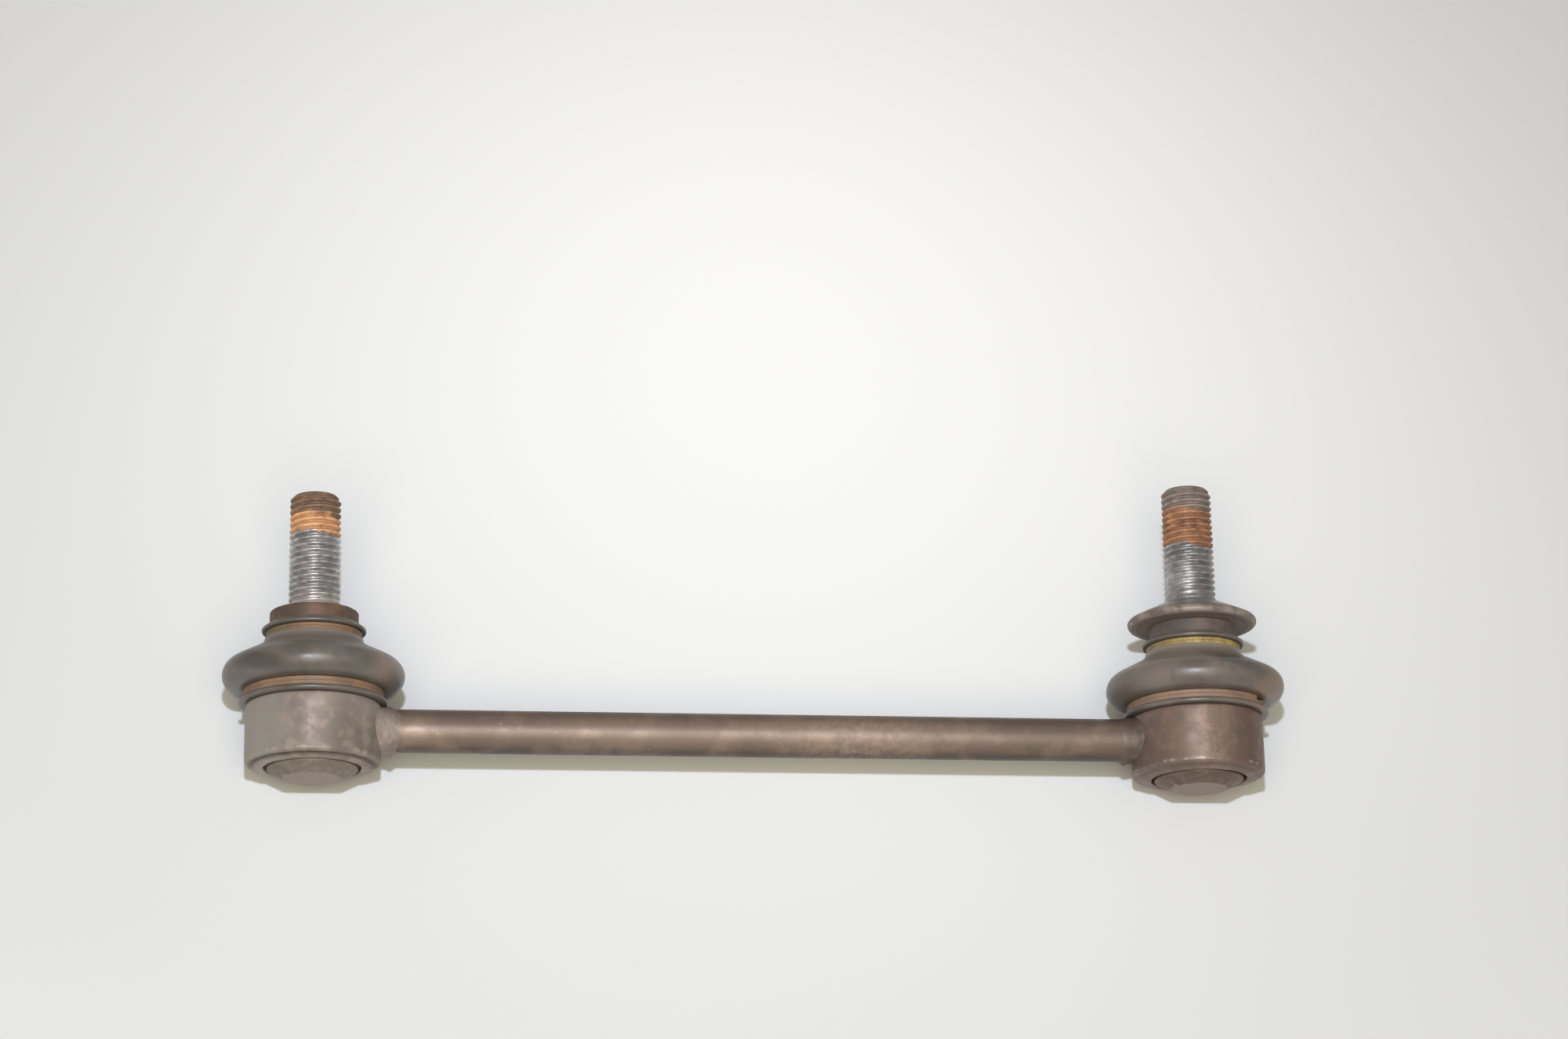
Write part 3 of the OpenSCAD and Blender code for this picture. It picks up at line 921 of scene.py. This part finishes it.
def worn_steel(
    name,
    tones,
    dust,
    dust_amount,
    cloud_scale,
    roughness,
    place_from=place_of,
    painted_edge_shade=0.0,
    rubbed_edges=True,
    tints_and_shade=(),
    scuff=None,
    crease=None,
    centre=None,
):
    """Brown patinated steel: cloudy tones, a few bare specks and scratches, rubbed edges and some dust.

    Painted shade darkens the surface where it turns away from the view, by the amount given for it. A tint
    is a colour for one side, with its axis and the places along it where the colour starts and where it is
    full; the rod's darker lower half is painted shade given as such a tint. A scuff is a colour for a
    rubbed stripe, with its middle and half width along X. A crease says how dark the painted shade in the
    fold of a housing's rolled rim is, and how bright its edge is painted, partly as highlight and partly as
    rubbed wear. A centre is a colour inside a radius.
    """
    dark, middle, light = tones
    material, tree, shader = new_finish(name)
    place = place_from(tree)
    split = add(tree, "SeparateXYZ", {0: place}).outputs
    large = blotches(tree, place, cloud_scale, 0.36, 0.64)
    small = blotches(tree, place, cloud_scale * 3.2, 0.42, 0.7)
    color = mixed(tree, large, dark, middle)
    color = mixed(tree, times(tree, small, 0.6), color, light)
    for tint_color, axis, start, full in tints_and_shade:
        patches = ramp(tree, small, 0.0, 1.0, 0.8, 0.4)
        sided = times(tree, patches, ramp(tree, split[axis], start, full))
        color = mixed(tree, sided, color, tint_color)
    if scuff:
        scuff_color, scuff_x, scuff_reach = scuff
        scrubbed = ramp(tree, lumps(tree, place, 0.55, 5.0, 0.65), 0.4, 0.62, 0.25, 1.0)
        stripe = times(tree, scrubbed, band(tree, split["X"], scuff_x, scuff_reach))
        color = mixed(tree, times(tree, stripe, 0.8), color, scuff_color)
    if centre:
        centre_color, centre_r = centre
        shaky = plus(tree, from_axis(tree, place), times(tree, lumps(tree, place, 0.4), 1.2))
        inside = ramp(tree, shaky, centre_r + 1.0, centre_r + 0.2)
        color = mixed(tree, times(tree, inside, 0.75), color, centre_color)
    pits = flecks(tree, place, 0.6, 0.05, 0.2)
    color = mixed(tree, times(tree, pits, 0.4), color, dark)
    specks = flecks(tree, place, 0.7, 0.05, 0.24)
    lines = scratches(tree, place, (0.06, 0.9, 0.9))
    bare = larger(tree, specks, times(tree, lines, 0.5))
    if rubbed_edges:
        rubbed = edge_wear(tree, place, 0.53, 0.62)
        bare = larger(tree, bare, rubbed)
    color = mixed(tree, times(tree, bare, 0.5), color, rgb("#b9aca2"))
    film = settled_dust(tree, place, cloud_scale * 1.4, dust_amount)
    color = mixed(tree, film, color, dust)
    # Painted shade in the fold of the rolled rim, stronger on the upper side, and a lightened corner edge
    # beside it that is partly painted highlight and partly rubbed wear.
    if crease:
        fold_painted_shade, edge_highlight_and_wear = crease
        reach = from_axis(tree, place)
        shaky = plus(tree, reach, times(tree, lumps(tree, place, 0.4), 0.6))
        below = ramp(tree, split["Z"], CAP_RECESS_Z, CAP_RECESS_Z - 0.3)
        upper = ramp(tree, split["Y"], 8.0, -4.0)
        fold = times(tree, band(tree, shaky, CREASE_R + 0.4, 1.4), times(tree, below, upper))
        color = mixed(tree, times(tree, fold, fold_painted_shade), color, rgb("#3f3731"))
        corner = band(tree, split["Z"], RIM_Z + RIM_RISE + 0.7, 0.5)
        corner = times(tree, corner, ramp(tree, reach, HOUSING_R - 0.9, HOUSING_R - 0.4))
        broken = ramp(tree, lumps(tree, place, 0.35), 0.48, 0.66)
        lit = times(tree, times(tree, corner, broken), edge_highlight_and_wear)
        color = mixed(tree, lit, color, rgb("#c3b6aa"))
    # Painted shade: darker where the surface turns away from the view.
    if painted_edge_shade:
        turned_away = ramp(tree, add(tree, "LayerWeight", {"Blend": 0.5}).outputs["Facing"], 0.05, 0.6)
        color = mixed(tree, times(tree, turned_away, painted_edge_shade), color, rgb("#3a332e"))
    grain = fine_grain(tree, place, 1.6, 0.8)
    satin = ramp(tree, small, 0.0, 1.0, roughness, roughness - 0.05)
    rough = plus(tree, satin, times(tree, film, 0.2))
    height = minus(tree, grain, times(tree, pits, 0.8))
    set_surface(tree, shader, color, rough, 0.25, height, 0.02)
    shader.inputs["Specular Tint"].default_value = (1, 0.87, 0.75, 1)
    return material


def boot_rubber(name, base, dust, dust_amount, dusty_and_painted_light_from, smear, smear_color, stain, stain_color):
    """Satin rubber, dust thickening from one height up (partly painted light), a wiped smear and a stain."""
    material, tree, shader = new_finish(name)
    place = place_of(tree)
    level = add(tree, "SeparateXYZ", {0: place}).outputs["Z"]
    wander = times(tree, lumps(tree, place, 0.3), 5.0)
    cloud = blotches(tree, place, 0.13, 0.34, 0.66)
    film = settled_dust(tree, place, 0.1, dust_amount)
    under_lip = ramp(tree, level, UPPER_LIP_Z, UPPER_LIP_Z - 0.5)
    # Dust from this height up; where it starts low, as on the right boot, it also paints light onto the
    # shoulder that lies in the washer's shadow.
    neck = times(tree, ramp(tree, level, dusty_and_painted_light_from, dusty_and_painted_light_from + 2.0), under_lip)
    sheltered = larger(tree, neck, times(tree, ramp(tree, level, 7.6, 7.0), 0.24))
    film = larger(tree, film, times(tree, sheltered, 0.6))
    color = mixed(tree, times(tree, cloud, 0.5), base, rgb("#655d57"))
    color = mixed(tree, film, color, dust)
    from_stain = add(tree, "VectorMath", {0: place, 1: stain}, operation="DISTANCE").outputs["Value"]
    stained = ramp(tree, plus(tree, from_stain, wander), 11.0, 4.0)
    color = mixed(tree, times(tree, stained, 0.6), color, stain_color)
    to_smear = add(tree, "VectorMath", {0: place, 1: smear}, operation="SUBTRACT").outputs[0]
    along = add(tree, "SeparateXYZ", {0: to_smear}).outputs
    aslant = plus(tree, along["Z"], times(tree, along["X"], 0.3))
    stretched = {"X": times(tree, along["X"], 0.65), "Z": times(tree, aslant, 2.2)}
    drawn_out = add(tree, "CombineXYZ", stretched).outputs[0]
    apart = add(tree, "VectorMath", {0: drawn_out}, operation="LENGTH").outputs["Value"]
    wiped = ramp(tree, plus(tree, apart, times(tree, wander, 0.35)), 7.4, 3.4)
    wiped = times(tree, wiped, ramp(tree, plus(tree, along["Y"], wander), 15.0, 5.0))
    color = mixed(tree, times(tree, wiped, 0.85), color, smear_color)
    specks = flecks(tree, place, 0.5, 0.05, 0.11)
    color = mixed(tree, times(tree, specks, 0.5), color, rgb("#b0a89f"))
    grain = fine_grain(tree, place, 3.0, 0.9)
    dusty = times(tree, film, minus(tree, 0.22, times(tree, wiped, 0.2)))
    rough = plus(tree, ramp(tree, cloud, 0.0, 1.0, 0.28, 0.36), dusty)
    set_surface(tree, shader, color, rough, 0.0, grain, 0.02)
    return material


def ring_wire(name, tones, scale, left_color, left_amount):
    """Spring wire under patchy rust and dust, in another colour towards its left."""
    material, tree, shader = new_finish(name)
    place = place_of(tree)
    rust = rusted(tree, place, scale, tones)
    dirt = blotches(tree, place, 0.14, 0.5, 0.7)
    color = mixed(tree, times(tree, dirt, 0.35), rust["Color"], rgb("#80726a"))
    across = add(tree, "SeparateXYZ", {0: place}).outputs["X"]
    leftward = times(tree, ramp(tree, across, -1.0, -8.0), left_amount)
    color = mixed(tree, leftward, color, left_color)
    specks = flecks(tree, place, 1.1, 0.08, 0.25)
    color = mixed(tree, times(tree, specks, 0.4), color, rgb("#c5b39a"))
    rough = ramp(tree, rust["Height"], 0.3, 0.7, 0.5, 0.75)
    set_surface(tree, shader, color, rough, 0.1, rust["Height"], 0.05)
    return material


def seat_plastic():
    """Greased ivory liner."""
    material, tree, shader = new_finish("Greased liner")
    place = place_in_row(tree)
    grease = blotches(tree, place, 0.25, 0.42, 0.62)
    color = mixed(tree, times(tree, grease, 0.6), rgb("#e4dfcc"), rgb("#a8966a"))
    grain = fine_grain(tree, place, 2.0, 0.5)
    set_surface(tree, shader, color, ramp(tree, grease, 0.0, 1.0, 0.5, 0.25), 0.0, grain, 0.02)
    return material


def stud_steel(name, side, levels, silver_tones, rust_tones, tip_tones, collar_tones):
    """Zinc plated stud: bare silver threads, an orange band, a dark tip, and a brown collar under them."""
    material, tree, shader = new_finish(name)
    silver_z, orange_z, tip_z = levels
    place = place_of(tree)
    split = add(tree, "SeparateXYZ", {0: place}).outputs
    radius = from_axis(tree, place)
    drift = times(tree, minus(tree, lumps(tree, place, 0.5), 0.5), 2.6)
    level = plus(tree, plus(tree, split["Z"], drift), times(tree, split["X"], 0.12))
    root = ramp(tree, radius, THREAD_R - 0.3, THREAD_R - THREAD_DEPTH)

    worn = blotches(tree, place, 0.5, 0.36, 0.66)
    dull, bright, shaded, base = silver_tones
    silver = mixed(tree, worn, dull, bright)
    silver = mixed(tree, times(tree, root, 0.6), silver, shaded)
    fresh = ramp(tree, split["Z"], THREAD_START_Z[side] + 4, THREAD_START_Z[side] + 1)
    silver = mixed(tree, times(tree, fresh, 0.6), silver, base)
    rust = rusted(tree, place, 0.32, rust_tones)
    tip_rust = rusted(tree, place, 0.45, tip_tones)

    rusty = ramp(tree, level, silver_z - 0.3, silver_z + 0.3)
    tip = ramp(tree, level, orange_z, tip_z)
    color = mixed(tree, rusty, silver, rust["Color"])
    color = mixed(tree, tip, color, tip_rust["Color"])
    # Grime and painted shade darken the roots of the rusty threads.
    root_grime_and_shade = times(tree, times(tree, root, rusty), 0.45)
    color = mixed(tree, root_grime_and_shade, color, rgb("#4a3a30"))

    below = ramp(tree, split["Z"], THREAD_START_Z[side] + 0.1, THREAD_START_Z[side] - 0.1)
    cloud = blotches(tree, place, 0.17, 0.36, 0.64)
    lines = scratches(tree, place, (0.4, 0.4, 1.2))
    rubbed = edge_wear(tree, place, 0.53, 0.62)
    brown = mixed(tree, cloud, collar_tones[0], collar_tones[1])
    brown = mixed(tree, times(tree, larger(tree, lines, rubbed), 0.35), brown, rgb("#b5aaa2"))
    color = mixed(tree, below, color, brown)
    inside = ramp(tree, split["Z"], LAND_Z + 3.4, LAND_Z + 3.0)
    color = mixed(tree, inside, color, rgb("#8f8b86"))

    crusted = larger(tree, larger(tree, rusty, tip), below)
    bare = larger(tree, minus(tree, 1.0, crusted), inside)
    rough = ramp(tree, crusted, 0.0, 1.0, 0.4, 0.64)
    grain = fine_grain(tree, place, 2.6, 0.6)
    height = plus(tree, grain, times(tree, rust["Height"], rusty))
    set_surface(tree, shader, color, rough, times(tree, bare, 0.6), height, 0.05)
    return material


def washer_steel():
    """Worn zinc on the washer's cone, brown around its rim and underneath."""
    material, tree, shader = new_finish("Worn cone washer")
    place = place_of(tree)
    height_z = add(tree, "SeparateXYZ", {0: place}).outputs["Z"]
    drift = times(tree, minus(tree, lumps(tree, place, 0.3), 0.5), 0.6)
    reach = plus(tree, from_axis(tree, place), drift)
    outer = ramp(tree, reach, WORN_CONE_R - 0.15, WORN_CONE_R + 0.15)
    under = ramp(tree, height_z, SEAT_FACE_Z + 0.35, SEAT_FACE_Z + 0.05)
    brown_part = larger(tree, outer, under)
    cloud = blotches(tree, place, 0.3, 0.36, 0.64)
    silver = mixed(tree, cloud, rgb("#7d7b79"), rgb("#9b9997"))
    seam = band(tree, reach, WORN_CONE_R, 0.45)
    brown = mixed(tree, cloud, rgb("#695e56"), rgb("#8f8277"))
    rubbed = edge_wear(tree, place, 0.52, 0.6)
    specks = flecks(tree, place, 0.7, 0.25, 0.4)
    scuffed = larger(tree, rubbed, times(tree, specks, 0.7))
    brown = mixed(tree, times(tree, scuffed, 0.55), brown, rgb("#b8ac9f"))
    brown = mixed(tree, under, brown, rgb("#84766f"))
    color = mixed(tree, brown_part, silver, brown)
    color = mixed(tree, times(tree, seam, 0.65), color, rgb("#504844"))
    grain = fine_grain(tree, place, 2.6, 0.7)
    rough = ramp(tree, brown_part, 0.0, 1.0, 0.36, 0.5)
    metal = ramp(tree, brown_part, 0.0, 1.0, 0.5, 0.1)
    set_surface(tree, shader, color, rough, metal, grain, 0.04)
    return material


def finish_piece(piece, material):
    """Gives a piece one material."""
    piece.data.materials.clear()
    piece.data.materials.append(material)


# The object's pieces and their finishes

GREY_DUST = rgb("#8d877d")
BROWN_DUST = rgb("#7d7066")
housing_finish = {
    "left": worn_steel(
        "Left housing steel",
        shades("#776c63", "#8b7e74", "#a69789"),
        GREY_DUST,
        dust_amount=0.2,
        cloud_scale=0.1,
        roughness=0.5,
        tints_and_shade=[(rgb("#99958d"), "X", -3, -12)],
        crease=(0.95, 0.35),
    ),
    "right": worn_steel(
        "Right housing steel",
        shades("#6a5a51", "#735f55", "#846d60"),
        BROWN_DUST,
        dust_amount=0.12,
        cloud_scale=0.12,
        roughness=0.44,
        painted_edge_shade=0.2,
        tints_and_shade=[(rgb("#6b5145"), "X", 5, 12)],
        scuff=(rgb("#957c6d"), 0.0, 7.0),
        crease=(0.5, 0.5),
    ),
}
cap_finish = {
    "left": worn_steel(
        "Left cap steel",
        shades("#6c6256", "#766c60", "#867c70"),
        GREY_DUST,
        dust_amount=0.25,
        cloud_scale=0.16,
        roughness=0.55,
        centre=(rgb("#978c81"), DOME_FLAT_R),
    ),
    "right": worn_steel(
        "Right cap steel",
        shades("#56473e", "#605046", "#716156"),
        BROWN_DUST,
        dust_amount=0.15,
        cloud_scale=0.16,
        roughness=0.5,
        centre=(rgb("#8e7d70"), DOME_FLAT_R),
    ),
}
weld_finish = {
    "left": worn_steel(
        "Left weld steel",
        shades("#83776e", "#93877d", "#a8998d"),
        GREY_DUST,
        dust_amount=0.15,
        cloud_scale=0.16,
        roughness=0.5,
        painted_edge_shade=0.2,
        rubbed_edges=False,
        tints_and_shade=[(rgb("#78685d"), "X", 16.5, 19.5)],
    ),
    "right": worn_steel(
        "Right weld steel",
        # These dark tones are partly the weld's colour and partly painted shade between rod and housing.
        shades("#4d423b", "#574b43", "#685a50"),
        BROWN_DUST,
        dust_amount=0.15,
        cloud_scale=0.16,
        roughness=0.54,
        painted_edge_shade=0.3,
        rubbed_edges=False,
        tints_and_shade=[(rgb("#6c5c52"), "X", -16.5, -19.5)],
    ),
}
rod_finish = worn_steel(
    "Rod steel",
    shades("#716157", "#7f6d61", "#947f70"),
    BROWN_DUST,
    place_from=place_in_row,
    dust_amount=0.1,
    cloud_scale=0.05,
    roughness=0.46,
    painted_edge_shade=0.5,
    rubbed_edges=False,
    # The second tint darkens the rod's lower half as painted shade.
    tints_and_shade=[(rgb("#6a5b51"), "X", 40, 64), (rgb("#473d36"), "Z", 20.5, 17)],
    scuff=(rgb("#9d8978"), 22, 26),
)
boot_finish = {
    "left": boot_rubber(
        "Left boot rubber",
        base=rgb("#4b4641"),
        dust=rgb("#8b8077"),
        dust_amount=0.3,
        dusty_and_painted_light_from=15.0,
        # On this boot the smear darkens a patch on the boot's left side.
        smear=(-14, -14, 12.5),
        smear_color=rgb("#4a4643"),
        stain=(16, -11, 13),
        stain_color=rgb("#897565"),
    ),
    "right": boot_rubber(
        "Right boot rubber",
        base=rgb("#4a433d"),
        dust=rgb("#968a80"),
        dust_amount=0.34,
        # Dust starts low here, partly as painted light that lifts the shoulder out of the washer's shadow.
        dusty_and_painted_light_from=13.7,
        smear=(5, -13.5, 15.6),
        smear_color=rgb("#55524f"),
        stain=(15, -11, 9.5),
        stain_color=rgb("#87694c"),
    ),
}
OLIVE = rgb("#6f664a")
# Tones, scale of the rust, and how olive the left is
RING_LOOKS = {
    ("left", "lower"): (shades("#6d594b", "#826853", "#a0774f"), 0.16, 0.0),
    ("right", "lower"): (shades("#755f4e", "#8a6f5c", "#a07a5a"), 0.16, 0.0),
    ("left", "upper"): (shades("#6d5540", "#846449", "#98704e"), 0.14, 0.8),
    ("right", "upper"): (shades("#755a43", "#9c8452", "#b8ad58"), 0.4, 0.3),
}
ring_finish = {}
for (ring_side, ring_level), (ring_tones, rust_scale, olive) in RING_LOOKS.items():
    ring_name = f"{ring_side.capitalize()} {ring_level} ring"
    ring_finish[ring_side, ring_level] = ring_wire(ring_name, ring_tones, rust_scale, OLIVE, olive)
stud_finish = {
    "left": stud_steel(
        "Left stud steel",
        "left",
        levels=(46.0, 49.6, 51.2),
        silver_tones=shades("#a3a09f", "#cecac7", "#6c6867", "#e6d9cd"),
        rust_tones=shades("#b57b54", "#e3ab79", "#f0cb9c"),
        tip_tones=shades("#6a5345", "#866b58", "#b0845f"),
        collar_tones=shades("#503f34", "#6a4e3b"),
    ),
    "right": stud_steel(
        "Right stud steel",
        "right",
        levels=(46.8, 54.6, 56.6),
        silver_tones=shades("#949292", "#b8b6b4", "#696665", "#837a74"),
        rust_tones=shades("#795345", "#ab7a58", "#d9a574"),
        tip_tones=shades("#73665f", "#8f8178", "#aa9d94"),
        collar_tones=shades("#514943", "#65574d"),
    ),
}

for side in SIDES:
    finish_piece(housing(side), housing_finish[side])
    finish_piece(end_cap(side), cap_finish[side])
    finish_piece(weld(side), weld_finish[side])
    finish_piece(ball_stud(side), stud_finish[side])
    for half in boot(side):
        finish_piece(half, boot_finish[side])
    for ring_level in RING_WIRE:
        finish_piece(spring_ring(side, ring_level), ring_finish[side, ring_level])
finish_piece(cone_washer(), washer_steel())
finish_piece(frame["nodes"]["link_rod"], rod_finish)
liner = seat_plastic()
for side in SIDES:
    finish_piece(frame["nodes"][f"{side}_ball_seat"], liner)


# Camera, at the photograph's angle

AIM = Vector((0.01113, 0.04622, 0))
AIM_DISTANCE = 1.05428
AZIMUTH = math.radians(-13.687)
ELEVATION = math.radians(56.914)
ROLL = math.radians(12.666)
LENS_MM = 99.477
SENSOR_MM = 36

back = Vector(
    (
        math.sin(AZIMUTH) * math.cos(ELEVATION),
        -math.cos(AZIMUTH) * math.cos(ELEVATION),
        math.sin(ELEVATION),
    )
)
level_right = Vector((math.cos(AZIMUTH), math.sin(AZIMUTH), 0))
camera_right = math.cos(ROLL) * level_right + math.sin(ROLL) * back.cross(level_right)
camera_up = back.cross(camera_right)
camera_turn = Matrix((camera_right, camera_up, back)).transposed().to_4x4()

camera_data = bpy.data.cameras.new("Camera")
camera_data.lens = LENS_MM
camera_data.sensor_width = SENSOR_MM
camera_data.clip_start = 0.05
camera_data.clip_end = 20
camera = bpy.data.objects.new("Camera", camera_data)
camera.matrix_world = Matrix.Translation(AIM + AIM_DISTANCE * back) @ camera_turn
bpy.context.scene.collection.objects.link(camera)
bpy.context.scene.camera = camera


# Light and floor

LINK_CENTRE = (cad_box[0] + cad_box[1]) / 2
KEY_RISE = 0.23
KEY_SIZE = 0.035
KEY_POWER = 7.6
KEY_COLOR = (0.75, 0.83, 1.0)
SOFT_SIZE = 0.9
SOFT_DISTANCE = 1.4
SOFT_POWER = 10.9
SOFT_COLOR = (1.0, 0.92, 0.75)
ROOM_COLOR = (1.0, 0.92, 0.75, 1)
ROOM_STRENGTH = 0.265
FLOOR_SIZE = 6
FLOOR_DROP = 0.0003
# Painted pool of light on the table: its colour is brightest at the hot spot and dims further out.
PAINTED_HOT_SPOT = (0.02, 0.131, 0.0)
PAINTED_HOT_SPOT_REACH = 0.27
FLOOR_PAINTED_HOT = (0.91, 0.91, 0.905, 1)
FLOOR_PAINTED_FALLOFF = (0.645, 0.645, 0.635, 1)


def area_lamp(name, location, shape, size, power, color):
    """Lamp that faces the middle of the link."""
    lamp = bpy.data.lights.new(name, "AREA")
    lamp.shape = shape
    lamp.size = size
    lamp.energy = power
    lamp.color = color
    holder = bpy.data.objects.new(name, lamp)
    holder.location = location
    holder.rotation_euler = (LINK_CENTRE - location).to_track_quat("-Z", "Y").to_euler()
    bpy.context.scene.collection.objects.link(holder)


key_place = camera.matrix_world.translation + KEY_RISE * camera_up
area_lamp("Key lamp", key_place, "DISK", KEY_SIZE, KEY_POWER, KEY_COLOR)
area_lamp("Soft lamp", LINK_CENTRE + SOFT_DISTANCE * back, "SQUARE", SOFT_SIZE, SOFT_POWER, SOFT_COLOR)

world = bpy.data.worlds.new("Room")
world.use_nodes = True
room = next(node for node in world.node_tree.nodes if node.type == "BACKGROUND")
room.inputs["Color"].default_value = ROOM_COLOR
room.inputs["Strength"].default_value = ROOM_STRENGTH
bpy.context.scene.world = world


def floor():
    """Pale table top with a painted pool of light: brightest at a hot spot, darker further out."""
    bm = bmesh.new()
    bmesh.ops.create_grid(bm, x_segments=2, y_segments=2, size=FLOOR_SIZE / 2)
    mesh = bpy.data.meshes.new("Table")
    bm.to_mesh(mesh)
    bm.free()
    table = bpy.data.objects.new("Table", mesh)
    table.location.z = -FLOOR_DROP
    bpy.context.scene.collection.objects.link(table)
    material, tree, shader = new_finish("Pale table")
    place = add(tree, "TexCoord").outputs["Object"]
    apart = add(tree, "VectorMath", {0: place, 1: PAINTED_HOT_SPOT}, operation="DISTANCE").outputs["Value"]
    fall = ramp(tree, apart, 0.0, PAINTED_HOT_SPOT_REACH)
    feed(tree, shader.inputs["Base Color"], mixed(tree, fall, FLOOR_PAINTED_HOT, FLOOR_PAINTED_FALLOFF))
    shader.inputs["Roughness"].default_value = 0.6
    shader.inputs["Specular IOR Level"].default_value = 0.2
    finish_piece(table, material)


floor()
bpy.context.scene.view_settings.view_transform = "Standard"
